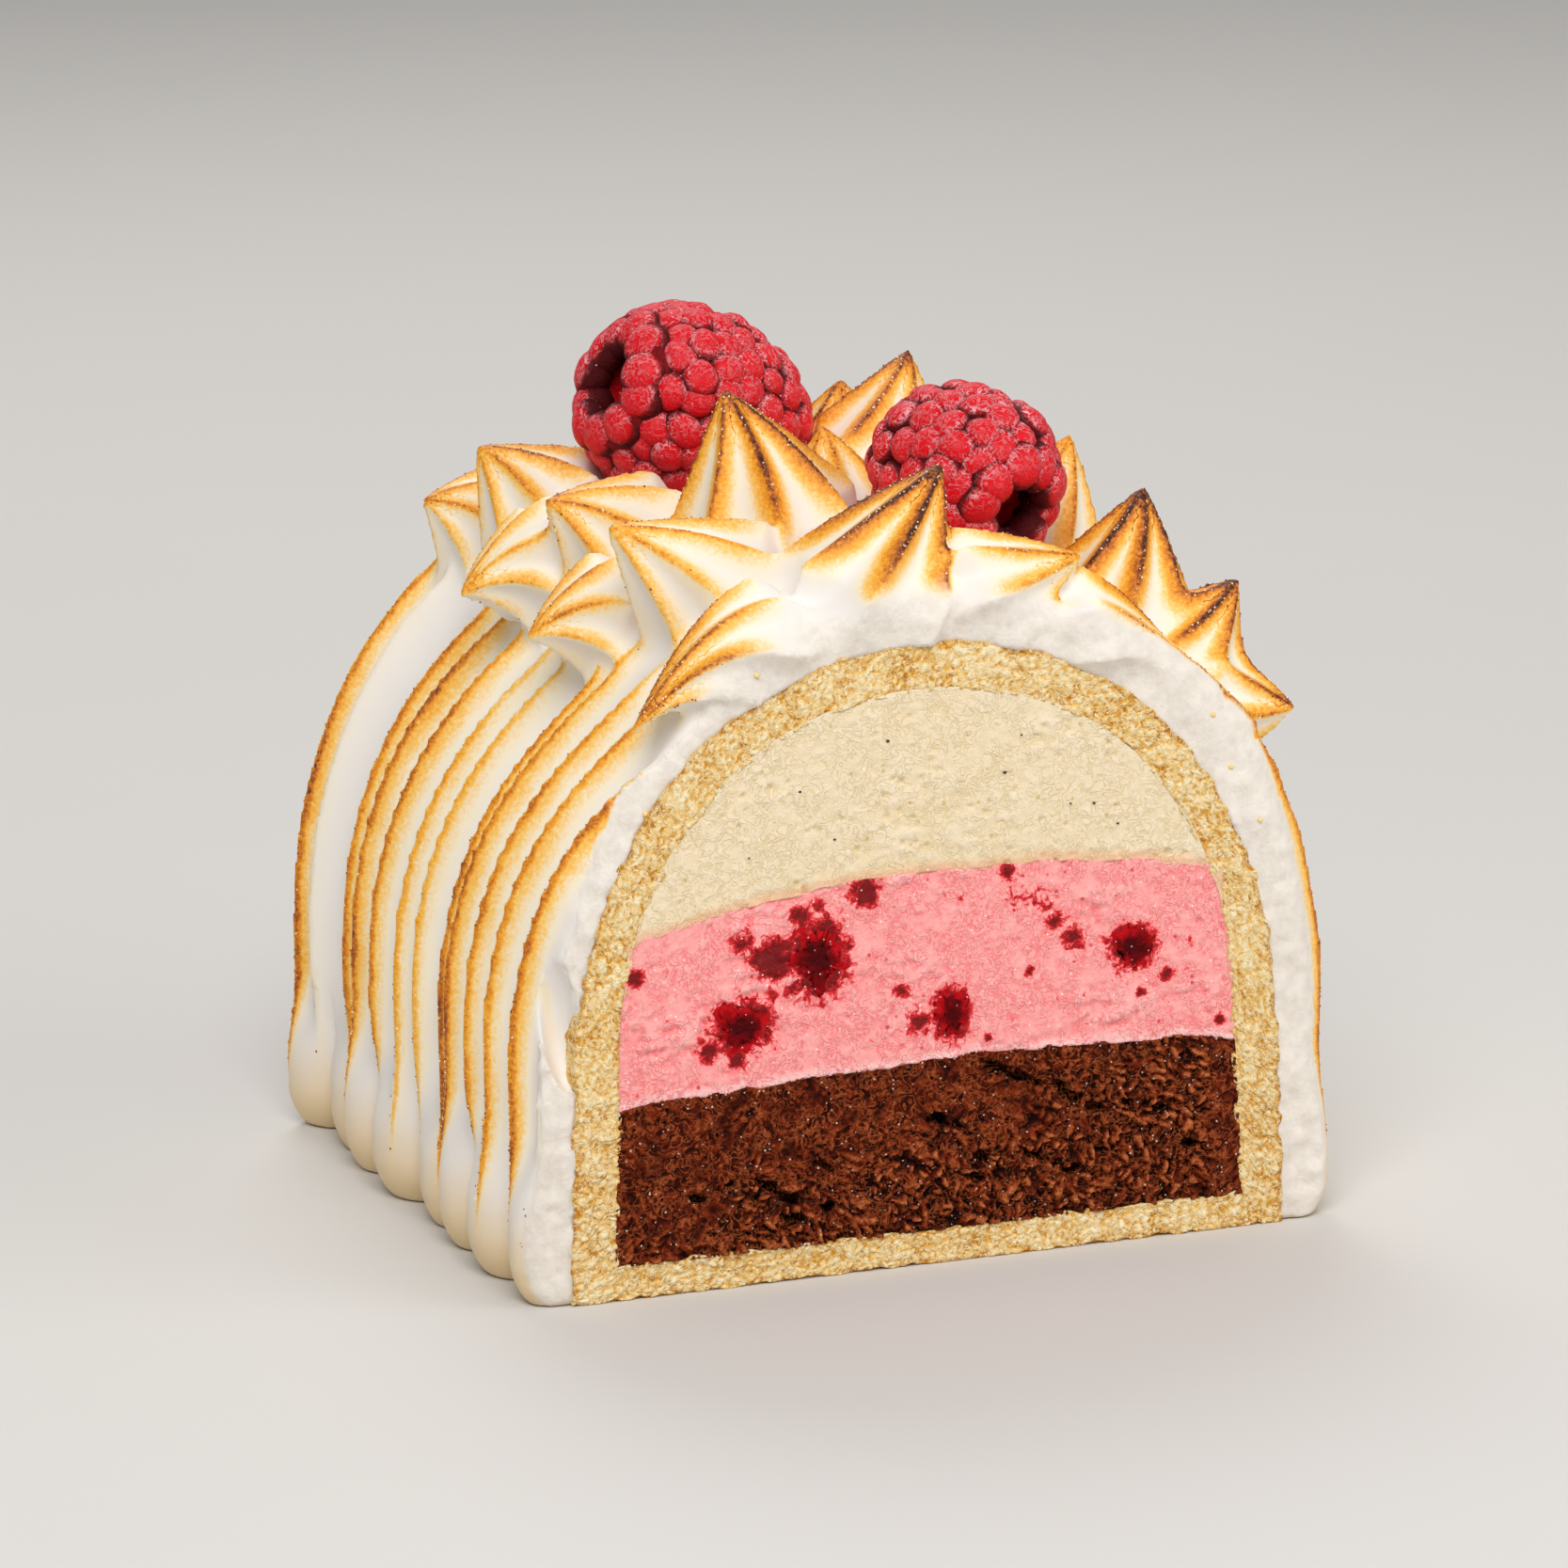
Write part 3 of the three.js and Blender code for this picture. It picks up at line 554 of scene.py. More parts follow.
def ice_cream(name, ramp, curl, pits, frost, stain, shader):
    """Frozen cream that a cold knife cut, grainy with ice.

    ramp colours it from its pits to its ridges, darker in the pits and lighter on the ridges: painted shade
    and light from its relief. curl is the size, width, colour, strength and lift of the fine curls on it.
    pits and frost are the share and the colour of its small holes, dark specks of painted shade, and of its
    ice crystals, pale specks that are partly frost and partly painted glint.
    stain is how far juice straggles, and the colours that it turns the cream by.
    """
    material, tree, place = start_material(name)
    depth, juice = (
        add(tree, "ShaderNodeAttribute", out="Fac", attribute_name=mark) for mark in ("relief", "juice")
    )
    grainy = {"Vector": place, "Scale": per(0.6), "Detail": 4.0, "Roughness": 0.7}
    ice = add(tree, "ShaderNodeTexNoise", grainy)
    # Painted shade and light: the relief mark darkens pits and lightens ridges
    level = add(tree, "ShaderNodeMath", [ice, 0.45, depth], operation="MULTIPLY_ADD")
    colour = add(tree, "ShaderNodeValToRGB", [level], stops=ramp)
    size, width, tint, strength, lift = curl
    line = curls(tree, place, size, width)
    patch = add(tree, "ShaderNodeTexNoise", {"Vector": place, "Scale": per(2.5 * size), "Detail": 1.0})
    patch = add(tree, "ShaderNodeMapRange", [patch, 0.3, 0.52, 0.0, strength])
    line = add(tree, "ShaderNodeMath", [line, patch], operation="MULTIPLY")
    colour = add(tree, "ShaderNodeMix", {0: line, 6: colour, 7: linear(tint)}, **COLOURS)
    # Painted shade: the small holes are dark specks, with no depth of their own
    pit = specks(tree, place, 0.9, pits[0], 0.3)
    colour = add(tree, "ShaderNodeMix", {0: pit, 6: colour, 7: linear(pits[1])}, **COLOURS)
    # Juice straggles into the cream in spikes
    spiky = {"Vector": place, "Scale": per(1.0), "Detail": 3.0, "Roughness": 0.75, "Distortion": 0.6}
    straggle = add(tree, "ShaderNodeTexNoise", spiky)
    soaked = add(tree, "ShaderNodeMath", [straggle, stain[0], juice], operation="MULTIPLY_ADD")
    stained = {0: 1.0, 6: colour, 7: add(tree, "ShaderNodeValToRGB", [soaked], stops=stain[1])}
    colour = add(tree, "ShaderNodeMix", stained, blend_type="MULTIPLY", **COLOURS)
    # Pale specks of ice: partly frost, partly painted glint
    glint = specks(tree, place, 0.5, frost[0], 0.24)
    colour = add(tree, "ShaderNodeMix", {0: glint, 6: colour, 7: linear(frost[1])}, **COLOURS)
    height = add(tree, "ShaderNodeMath", [line, lift, ice], operation="MULTIPLY_ADD")
    finish_material(tree, {**shader, "Base Color": colour}, bump=(height, 0.6, 0.24))
    return material


def chocolate_ice_cream():
    # Dark frozen chocolate, torn into shreds by the knife, and hardly shiny. It is painted nearly black in
    # its holes, as shade, and lighter brown on the curls, partly their own colour and partly painted light.
    return ice_cream(
        "chocolate_ice_cream",
        ramp=((0.2, "060100"), (0.42, "240602"), (0.58, "461002"), (0.74, "76280c"), (1.0, "c06c3c")),
        curl=(1.05, 0.095, "b0582e", 0.9, 2.4), pits=(0.1, "0c0200"), frost=(0.16, "e4cfc0"),
        stain=(0.0, ((0.0, "ffffff"), (1.0, "ffffff"))),
        shader={"IOR": 1.35, "Roughness": 0.6, "Specular IOR Level": 0.12},
    )


def raspberry_ice_cream():
    # Smooth pink ice cream with crimson juice soaked in round the fruit, and a soft frozen sheen.
    return ice_cream(
        "raspberry_ice_cream",
        ramp=((0.3, "f48c8c"), (0.48, "ffaaa8"), (0.62, "ffb9b5"), (0.8, "ffccc8"), (1.0, "ffe4e0")),
        curl=(0.72, 0.09, "fc747c", 0.75, -0.6), pits=(0.04, "e0565e"), frost=(0.08, "fff0ee"),
        stain=(1.1, (
            (0.0, "ffffff"), (0.72, "ffe6e6"), (0.79, "f48088"), (0.85, "d03440"), (0.93, "aa101e"),
            (1.0, "7a0612"),
        )),
        shader={
            "IOR": 1.4, "Roughness": 0.55, "Specular IOR Level": 0.35,
            **lit_through(0.08, (1.0, 0.4, 0.35), 1.0),
        },
    )


def vanilla_ice_cream():
    # Pale cream ice cream, finely pitted, faintly pink where it thins out over the raspberry.
    return ice_cream(
        "vanilla_ice_cream",
        ramp=((0.3, "d8b678"), (0.52, "e9d3a8"), (0.7, "eedbb8"), (0.86, "f3e3c8"), (1.0, "f8efda")),
        curl=(0.9, 0.07, "dec48c", 0.6, -0.7), pits=(0.05, "d8ba80"), frost=(0.03, "fef8ea"),
        stain=(0.25, ((0.2, "ffffff"), (0.7, "fff2ec"), (1.0, "fee0d8"))),
        shader={
            "IOR": 1.4, "Roughness": 0.55, "Specular IOR Level": 0.35,
            **lit_through(0.08, (1.0, 0.75, 0.4), 1.0),
        },
    )


def frozen_fruit():
    # Cut raspberry flesh, frozen: dark red in the middle, crimson where it thins out, sugared with frost.
    material, tree, place = start_material("frozen_fruit")
    rim = add(tree, "ShaderNodeAttribute", out="Fac", attribute_name="rim")
    fleshy = {"Vector": place, "Scale": per(1.2), "Detail": 4.0, "Roughness": 0.7}
    flesh = add(tree, "ShaderNodeTexNoise", fleshy)
    thin = add(tree, "ShaderNodeMath", [flesh, 0.9, rim], operation="MULTIPLY_ADD")
    colour = add(tree, "ShaderNodeValToRGB", [thin], stops=(
        (0.5, "480004"), (0.7, "6e0006"), (0.86, "96020a"), (1.0, "b80a14"),
    ))
    frost = specks(tree, place, 0.55, 0.3, 0.2)
    colour = add(tree, "ShaderNodeMix", {0: frost, 6: colour, 7: linear("e8a8a8")}, **COLOURS)
    shader = {"Base Color": colour, "IOR": 1.34, "Roughness": 0.5, "Specular IOR Level": 0.15}
    finish_material(tree, shader, bump=(flesh, 0.5, 0.2))
    return material


def frosted_raspberry():
    # A frozen raspberry: crimson, painted darker in the grooves as shade, with crinkles of pale frost round
    # the upper side of each drupelet, and small painted highlights.
    material, tree, place = start_material("frosted_raspberry")
    groove_to_top, hoar = (
        add(tree, "ShaderNodeAttribute", out="Fac", attribute_name=mark) for mark in ("groove_to_top", "hoar")
    )
    # Painted shade: the grooves between drupelets take the darkest reds
    colour = add(tree, "ShaderNodeValToRGB", [groove_to_top], stops=(
        (0.0, "4c0006"), (0.22, "98000a"), (0.5, "cc0212"), (1.0, "de0a1c"),
    ))
    crinkle = curls(tree, place, 0.8, 0.1)
    frost = add(tree, "ShaderNodeMath", [crinkle, hoar], operation="MULTIPLY", use_clamp=True)
    colour = add(tree, "ShaderNodeMix", {0: frost, 6: colour, 7: linear("fcc4cc")}, **COLOURS)
    # Painted highlights: small pale pink dots
    glint = specks(tree, place, 0.6, 0.16, 0.2)
    colour = add(tree, "ShaderNodeMix", {0: glint, 6: colour, 7: linear("f59aa8")}, **COLOURS)
    dull = add(tree, "ShaderNodeMapRange", [groove_to_top, 0.0, 1.0, 0.75, 0.42])
    shader = {"Base Color": colour, "Roughness": dull, "IOR": 1.4, "Specular IOR Level": 0.3}
    finish_material(tree, {**shader, **lit_through(0.15, (1.0, 0.1, 0.08), 1.2)}, bump=(crinkle, 0.6, 0.16))
    return material


def plain_finish(name, size, stops, shader):
    """A material of one colour that changes a little from place to place, over the given size."""
    material, tree, place = start_material(name)
    shade = add(tree, "ShaderNodeTexNoise", {"Vector": place, "Scale": per(size)})
    colour = add(tree, "ShaderNodeValToRGB", [shade], stops=stops)
    finish_material(tree, {**shader, "Base Color": colour})
    return material


def vanilla_seed():
    # Dry black seeds scraped from the pod.
    shader = {"IOR": 1.45, "Roughness": 0.6}
    return plain_finish("vanilla_seed", 0.3, ((0.3, "120c08"), (0.7, "3a2a1c")), shader)


def pale_board():
    # The table: plain, dull and pale.
    return plain_finish("pale_board", 60, ((0.0, "d5d2ce"), (1.0, "d7d4d0")), {"Roughness": 0.85})


# Cut layers

def cut_slab(name, x, z, reliefs, marks, material, closed=False):
    """A layer between the cuts. x and z are grids of its face, reliefs how far front and back stand out."""
    rows, columns = x.shape
    count = rows * columns
    front, back = (relief.reshape(rows, columns) for relief in reliefs)
    vertices = np.concatenate([
        np.stack([x, -HALF_DEPTH - front, z], -1).reshape(-1, 3),
        np.stack([x, HALF_DEPTH + back, z], -1).reshape(-1, 3),
    ])
    grid = np.arange(count).reshape(rows, columns)
    if closed:
        grid = np.concatenate([grid, grid[:1]])
    face = np.stack([grid[:-1, :-1], grid[1:, :-1], grid[1:, 1:], grid[:-1, 1:]], -1).reshape(-1, 4)
    edges = [grid[:, 0], grid[::-1, -1]]
    if not closed:
        edges += [grid[0, ::-1], grid[-1]]
    rim = np.concatenate([np.stack([edge[:-1], edge[1:]], 1) for edge in edges])
    wall = np.stack([rim[:, 1], rim[:, 0], rim[:, 0] + count, rim[:, 1] + count], 1)
    faces = np.concatenate([face, face[:, ::-1] + count, wall])
    corner = vertices[face[:, :3]][:, :, (0, 2)]
    one, two = corner[:, 1] - corner[:, 0], corner[:, 2] - corner[:, 0]
    if (one[:, 0] * two[:, 1] - one[:, 1] * two[:, 0]).sum() < 0:
        faces = faces[:, ::-1]
    return make_piece(name, vertices, faces.tolist(), material, marks)


def face_places(x, z, y=0.0):
    return np.stack([x.ravel(), np.full(x.size, y), z.ravel()], 1)


def both_cuts(relief, x, z, *givens):
    """A relief's heights on each cut, and its marks. givens are what it is given in front and behind."""
    results = [relief(face_places(x, z, y), *given) for y, given in zip(CUTS, givens)]
    return [height for height, _ in results], np.concatenate([mark for _, mark in results])


def sponge_relief(places, seed):
    near, gap, own = grains(places, 0.72, seed)
    crumb = dent(near, 1.0) * (0.55 + 0.45 * own) * ease(gap, 0.0, 0.2)
    clump = drift(places, 1.7, seed + 20)
    height = 0.27 * (crumb - 0.4) + 0.1 * clump
    # The second value colours the crumb: raised crumbs lighter and gaps darker, painted light and shade
    return height, np.clip(0.1 + 0.42 * crumb + 0.12 * clump, 0, 1)


def vanilla_relief(places, seed):
    near, _, own = grains(places, 1.3, seed)
    band = ease(drift(places, (14.0, 9.0, 3.5), seed + 20), -0.1, 0.6)
    size = 0.16 + 0.22 * own * (0.4 + 0.6 * band)
    pit = np.where(own > 0.72 - 0.25 * band, dent(near, size), 0)
    drag = drift(places, (2.2, 3.0, 0.8), seed + 10)
    fine = drift(places, 0.6, seed + 30)
    height = 0.05 * fine + 0.12 * band * drag - 0.28 * pit
    # The colour mark is lower in pits and hollows: painted shade
    return height, np.clip(0.5 + 0.8 * height, 0, 1)


def raspberry_relief(places, seed, fruits):
    x, _, z = places.T
    near, _, own = grains(places, 0.8, seed)
    worm = dent(near, 0.75)
    torn = ease(drift(places, (9.0, 9.0, 5.0), seed + 10), 0.05, 0.6)
    drag = drift(places, (1.8, 3.0, 0.7), seed + 20)
    coarse, _, odd = grains(places, 1.7, seed + 30)
    pit = np.where(odd > 0.75, dent(coarse, 0.26), 0)
    height = 0.12 * (worm - 0.5) + torn * (0.24 * drag + 0.16 * (own - 0.5)) - 0.3 * pit
    # A pale frosted line runs along the bottom, where the raspberry meets the chocolate
    frost = 0.3 * (1 - ease(z - chocolate_seam(x), 0.2, 1.1))
    # Apart from the frost, the colour mark follows the relief and is darker in pits: painted shade
    mark = np.clip(np.clip(0.38 + 0.6 * height, 0, 1) + frost, 0, 1)
    pocket = np.zeros(len(places))
    for across, up, width, tall in fruits:
        out = np.hypot((x - across) / width, (z - up) / tall)
        pocket = np.maximum(pocket, 1 - ease(out, 0.55, 0.8))
    return height - FRUIT_POCKET * pocket, mark


def chocolate_relief(places, seed, holes):
    x, y, z = places.T
    rough = ease(0.3 * x - 1.1 * (z - 13.0) + 5.0 * drift(places, 6.0, seed), -5.0, 6.0)
    rough = 0.3 + 0.7 * rough * (1 - ease(x, 28.5, 30.5))
    # Shreds lie in small tufts, each with its own direction
    _, _, tuft = grains(places, 1.5, seed + 20)
    angle = 0.25 + math.pi * np.floor(tuft * 6) / 6
    along, over = x * np.cos(angle) + z * np.sin(angle), z * np.cos(angle) - x * np.sin(angle)
    near, _, own = grains(np.stack([along / 2.8, y, over], 1), 0.46, seed + 2)
    shred = dent(near, 0.75)
    fine = drift(places, 0.5, seed + 6)
    height = rough * (0.45 * (shred - 0.5) + 0.8 * (own - 0.5) + 0.25 * (tuft - 0.5))
    height += (1 - rough) * (0.12 * (shred - 0.5) + 0.1 * fine)
    gape = np.zeros(len(places))
    wander = 0.6 * drift(places, 0.9, seed + 7) + 0.35 * drift(places, 0.4, seed + 8)
    for across, up, half in holes:
        dx, dz = x - across, z - up
        along, over = 0.9 * dx - 0.43 * dz, 0.43 * dx + 0.9 * dz
        gape = np.maximum(gape, 1 - np.hypot(along / (1.25 * half), over / (0.55 * half)) + wander)
    gape = ease(gape, 0.05, 0.5)
    height -= HOLE_DEPTH * gape
    # The colour mark is lower on sunken shreds and much lower in the torn holes: painted shade
    return height, np.clip(0.37 + 0.9 * height - 0.3 * gape, 0, 1)


def juice_mark(places, fruits, juices):
    """How much juice has soaked into the raspberry ice cream at each place."""
    x, _, z = places.T
    soaked = np.zeros(len(places))
    for across, up, width, height in fruits:
        soaked = np.maximum(soaked, 0.85 - 0.5 * np.hypot((x - across) / width, (z - up) / height))
    for across, up, reach, strength in juices:
        out = np.hypot(x - across, z - up) / reach
        soaked = np.maximum(soaked, strength * (0.75 - 0.45 * out))
    return soaked


def make_sponge(material):
    along = np.linspace(1, -1, SPONGE_GRID["arch"])
    share = np.linspace(0, 1, SPONGE_GRID["layers"])
    outlines = []
    for arch in (SPONGE_ARCH, FILL_ARCH):
        x, z = arch_line(arch, along)
        across = np.linspace(-arch["foot"], arch["foot"], SPONGE_GRID["floor"] + 2)[1:-1]
        outlines.append((np.append(x, across), np.append(z, np.full(len(across), arch["floor"]))))
    x, z = (outer[:, None] * (1 - share) + inner[:, None] * share for outer, inner in zip(*outlines))
    # The relief mark colours the crumb lighter where it stands out and darker in its gaps: painted light and
    # shade
    reliefs, depth = both_cuts(sponge_relief, x, z, (100,), (200,))
    # The baked skin shows as a darker line along both edges
    skins = np.maximum(1 - ease(share, 0.0, 0.16), 0.6 * ease(share, 0.88, 1.0))
    marks = {"relief": np.clip(depth - SKIN_DARK * np.tile(skins, 2 * len(x)), 0, 1)}
    # Its edges aren't ruled
    reach, size, seed = SPONGE_RAGGED.values()
    places = face_places(x, z)
    x, z = (line + reach * drift(places, size, seed + k).reshape(x.shape) for k, line in enumerate((x, z)))
    return cut_slab("sponge_cake_jacket", x, np.maximum(z, 0.0), reliefs, marks, material, closed=True)


def layer_grid(bottom, top, columns, rows):
    """A layer's face, from side to side of the hollow and between two heights that change across it."""
    across = np.linspace(-1, 1, columns)[:, None]
    up = np.linspace(0, 1, rows)[None, :]
    x = 32.0 * across + 0 * up
    for _ in range(3):
        low, high = bottom(x), top(x)
        z = low + (high - low) * up
        x = across * (arch_width(FILL_ARCH, z) + SIDE_BITE)
    return x, z


def make_chocolate(material):
    x, z = layer_grid(lambda x: np.full(x.shape, CHOCOLATE_BOTTOM), chocolate_seam, *CHOCOLATE_GRID)
    holes_behind = [(-across, up, half) for across, up, half in CHOCOLATE_HOLES]
    reliefs, depth = both_cuts(chocolate_relief, x, z, (300, CHOCOLATE_HOLES), (350, holes_behind))
    marks = {"relief": depth, "juice": np.zeros(2 * x.size)}
    return cut_slab("chocolate_layer", x, z, reliefs, marks, material)


def make_raspberry(material):
    x, z = layer_grid(lambda x: chocolate_seam(x) - SEAM_BITE, vanilla_seam, *RASPBERRY_GRID)
    reliefs, depth = both_cuts(raspberry_relief, x, z, (400, FRUIT_IN_FRONT), (450, FRUIT_BEHIND))
    places = face_places(x, z)
    stains = ((FRUIT_IN_FRONT, JUICE_IN_FRONT), (FRUIT_BEHIND, JUICE_BEHIND))
    marks = {"relief": depth, "juice": np.concatenate([juice_mark(places, *stain) for stain in stains])}
    return cut_slab("raspberry_layer", x, z, reliefs, marks, material)


def make_vanilla(material):
    columns, rows = VANILLA_GRID
    top_x, top_z = arch_line(FILL_ARCH, np.linspace(VANILLA_REACH, -VANILLA_REACH, columns))
    wider = 1 + SIDE_BITE / np.hypot(top_x, top_z - VANILLA_MIDDLE)
    top_x, top_z = top_x * wider, VANILLA_MIDDLE + (top_z - VANILLA_MIDDLE) * wider
    low_x = np.linspace(top_x[0], top_x[-1], columns)
    low_z = vanilla_seam(low_x) - SEAM_BITE
    up = np.linspace(0, 1, rows)
    x = low_x[:, None] * (1 - up) + top_x[:, None] * up
    z = low_z[:, None] * (1 - up) + top_z[:, None] * up
    reliefs, depth = both_cuts(vanilla_relief, x, z, (500,), (550,))
    # The raspberry shows through where the vanilla thins out over it
    tint = 1 - ease(z.ravel() - vanilla_seam(x).ravel(), 0.0, 1.6)
    return cut_slab("vanilla_layer", x, z, reliefs, {"relief": depth, "juice": np.tile(tint, 2)}, material)


def make_fruit(name, fruit, side, material, seed):
    """A ragged lump of fruit, cut flush with the face that it shows in."""
    across, up, width, tall = fruit
    turns, rings = FRUIT_GRID
    turn = np.linspace(0, 2 * math.pi, turns, endpoint=False)[None, :]
    tilt = np.linspace(0, math.pi, rings + 2)[1:-1][:, None]
    ray = np.stack([
        np.sin(tilt) * np.cos(turn), np.cos(tilt) + 0 * turn, np.sin(tilt) * np.sin(turn)
    ], -1).reshape(-1, 3)
    ray = np.concatenate([ray, [[0.0, 1.0, 0.0], [0.0, -1.0, 0.0]]])
    lumpy = 0.88 + 0.5 * drift(ray, 0.75, seed) + 0.5 * drift(ray, 0.3, seed + 1)
    lumpy = np.clip(lumpy + 0.3 * drift(ray, 0.14, seed + 4), 0.4, 1.25)
    vertices = ray * lumpy[:, None] * np.array([width, FRUIT_DEPTH, tall])
    rim = np.hypot(vertices[:, 0] / width, vertices[:, 2] / tall) / np.maximum(lumpy, 0.7)
    proud = 0.06 + 0.12 * drift(vertices, 0.7, seed + 2) + 0.08 * drift(vertices, 0.3, seed + 3)
    proud *= 1 - ease(rim, 0.75, 1.0)
    vertices[:, 1] = side * np.minimum(side * vertices[:, 1], proud)
    vertices += np.array([across, side * HALF_DEPTH, up])
    return make_piece(name, vertices, ring_faces(turns, rings), material, {"rim": 0.62 * rim ** 2})


def make_seeds(material):
    """Vanilla seeds: tiny flattened beads, pressed into the front cut and scattered over the back."""
    luck = np.random.default_rng(5)
    spots = [(x, -1, z) for x, z in VANILLA_SEEDS]
    spots += [(-x + 2 * luck.normal(), 1, z - 1) for x, z in VANILLA_SEEDS]
    vertices, faces = [], []
    for x, side, z in spots:
        start = len(vertices)
        size, long_ = SEED_SIZE * (0.8 + 0.5 * luck.random()), 1 + 0.6 * luck.random()
        y = side * (HALF_DEPTH + 0.1)
        vertices += [(x, y + side * SEED_HALF_DEPTH, z), (x, y - side * SEED_HALF_DEPTH, z)]
        for angle in np.linspace(0, 2 * math.pi, SEED_CORNERS, endpoint=False):
            vertices.append((x + size * long_ * math.cos(angle), y, z + size * math.sin(angle)))
        for k in range(SEED_CORNERS):
            a, b = start + 2 + k, start + 2 + (k + 1) % SEED_CORNERS
            faces += [[start, a, b], [start + 1, b, a]] if side < 0 else [[start, b, a], [start + 1, a, b]]
    return make_piece("vanilla_seeds", vertices, faces, material)


# Meringue

def crest_height(places, strands):
    """How thick the coat is on each rib or lobe. It is thickest in the middle of a strand."""
    off = np.abs(np.array(places)[:, None] - np.array(strands)).min(1) / (STRAND_PITCH / 2)
    return COAT_VALLEY + RIB_HEIGHT + STRAND_BULGE * np.sqrt(np.clip(1 - off ** 2, 0, 1))


def between_ribs(y, places):
    """The number of the rib behind a place, the gap that the place is in, and its share of that gap."""
    behind = np.clip(np.searchsorted(places, y), 1, len(places) - 1)
    gap = places[behind] - places[behind - 1]
    return behind, gap, np.clip((y - places[behind - 1]) / gap, 0, 1)


def sway(y, z, side):
    """How far forward the ribs have wandered at a place."""
    low, high = LEAN_HEIGHTS
    lean = RIB_LEAN[side] * np.clip((z - low) / (high - low), 0, 1.2) ** 1.5
    lean = lean * (1 - 0.85 * ease(y, *LEAN_FADE))
    return lean + 0.3 * np.sin(z / 9.5 + side) + 0.07 * np.sin(z / 4.1 + 2 * side)


def fluted(side, y, z):
    """The coat's thickness where its ribs are sharp and the flutes between them are hollow."""
    ribs, _, strands = SIDES[side]
    places = np.array([place for place, _ in ribs])
    crest = crest_height(places, strands)
    behind, gap, share = between_ribs(y + sway(y, z, side), places)
    thick = crest[behind - 1] * (1 - share) + crest[behind] * share
    way = 2 * np.minimum(share, 1 - share)
    return thick - np.minimum(FLUTE_SHARE * gap, FLUTE_DEEPEST) * (1 - (1 - way) ** 2)


def lobed(side, y, z):
    """The coat's thickness at its foot, where each strand starts as round fingers side by side."""
    _, lobes, strands = SIDES[side]
    lobes = np.array(lobes)
    edges = np.concatenate([[2 * lobes[0]], lobes, [2 * lobes[-1]]])
    sunk = np.clip(1 - z / LOBE_ROUND, 0, None) * LOBE_TUCK
    thick = np.zeros(np.broadcast(y, z).shape)
    for number, (place, crest) in enumerate(zip(lobes, crest_height(lobes, strands))):
        half = np.where(y < place, place - edges[number], edges[number + 2] - place) * LOBE_SHARE
        left = np.clip(1 - ((y - place) / np.minimum(half, LOBE_WIDEST)) ** 2 - sunk ** 2, 0, 1)
        thick = np.maximum(thick, (crest + LOBE_SWELL) * np.sqrt(left))
    return thick


def coat_thickness(side, reach, y, z):
    """The coat's thickness. reach is the way along the arch, 0 on the crown and 1 at the foot."""
    sharp = ease(z, *LOBE_TOP)
    strand = lobed(side, y, z) * (1 - sharp) + fluted(side, y, z) * sharp
    strand = np.maximum(strand, COAT_THINNEST)
    shoulder = SHOULDER[side] * (1 - ease(reach, *SHOULDER_FALL))
    shoulder = shoulder - SHOULDER_DIP[side] * (1 - ease(reach, *DIP_FALL)) * (1 - y / HALF_DEPTH) / 2
    shoulder = shoulder * ease(reach, *SHOULDER_RISE)
    return COAT_CROWN + (strand - COAT_CROWN) * ease(reach, *STRAND_FADE) + shoulder


def peak_axes(peak):
    """A peak's frame: its axis, how far it rises, how it bends, and two ways square to the axis."""
    belly, pull = np.array(peak.belly), np.array(peak.tip) - np.array(peak.belly)
    axis = unit(unit(pull) + peak.hook * unit((belly[0], 0, belly[2] - LOG_MIDDLE)))
    rise = pull @ axis
    log = np.array([0.0, 1.0, 0.0])
    across = unit(log - axis * (log @ axis))
    return axis, rise, pull - axis * rise, across, np.cross(axis, across)


def dot(parts, axis):
    return sum(part * share for part, share in zip(parts, axis))


def peak_field(peak, x, y, z):
    """A piped peak: way out of it, way along it from its belly at 0 to its tip at 1, signed way from the
    nearest rib, and that rib's number."""
    belly, size = peak.belly, peak.size
    axis, rise, bend, across, over = peak_axes(peak)
    offset = [x - belly[0], y - belly[1], z - belly[2]]
    height = dot(offset, axis)
    t = np.where(height > 0, height / rise, height / (PEAK_BACK * size))
    up = np.clip(t, 0, 1)
    ray = [part - share * height - lean * up ** 2 for part, share, lean in zip(offset, axis, bend)]
    a, b = dot(ray, across), dot(ray, over)
    out = np.sqrt(a * a + b * b)
    radius = size * np.where(t > 0, (1 - up) ** PEAK_TAPER, np.sqrt(np.clip(1 - t * t, 0, 1)))
    beat = (np.arctan2(b, a) - PEAK_TWIST * up) * PEAK_RIBS / (2 * math.pi) - peak.turn
    rib = np.round(beat)
    beat = 2 * (beat - rib)
    star = 1 - PEAK_FLUTE * (1 - (1 - np.abs(beat)) ** 2)
    body = (out - radius * star) * (rise / math.hypot(rise, size))
    ahead = np.maximum(t - 1, 0) * rise
    behind = np.maximum(-1 - t, 0) * PEAK_BACK * size
    beyond = np.sqrt(out * out + ahead * ahead + behind * behind)
    return np.where(np.abs(t) <= 1, body, beyond), t, beat * math.pi / PEAK_RIBS * out, rib


def run_together(one, two, soft):
    """Two forms as one, with a soft fillet between them."""
    near = np.maximum(soft - np.abs(one - two), 0) / soft
    return np.minimum(one, two) - near * near * soft / 4


def berry_pocket(berry, x, y, z):
    """Way into the pocket that a raspberry presses into the meringue, negative outside it."""
    offset = [x - berry["middle"][0], y - berry["middle"][1], z - berry["middle"][2]]
    along = dot(offset, unit(berry["axis"]))
    out = np.sqrt(np.maximum(dot(offset, offset) - along * along, 0))
    half, thick = berry["length"] / 2 + POCKET_ROOM, berry["width"] / 2 + POCKET_ROOM
    return (1 - np.sqrt((along / half) ** 2 + (out / thick) ** 2)) * thick


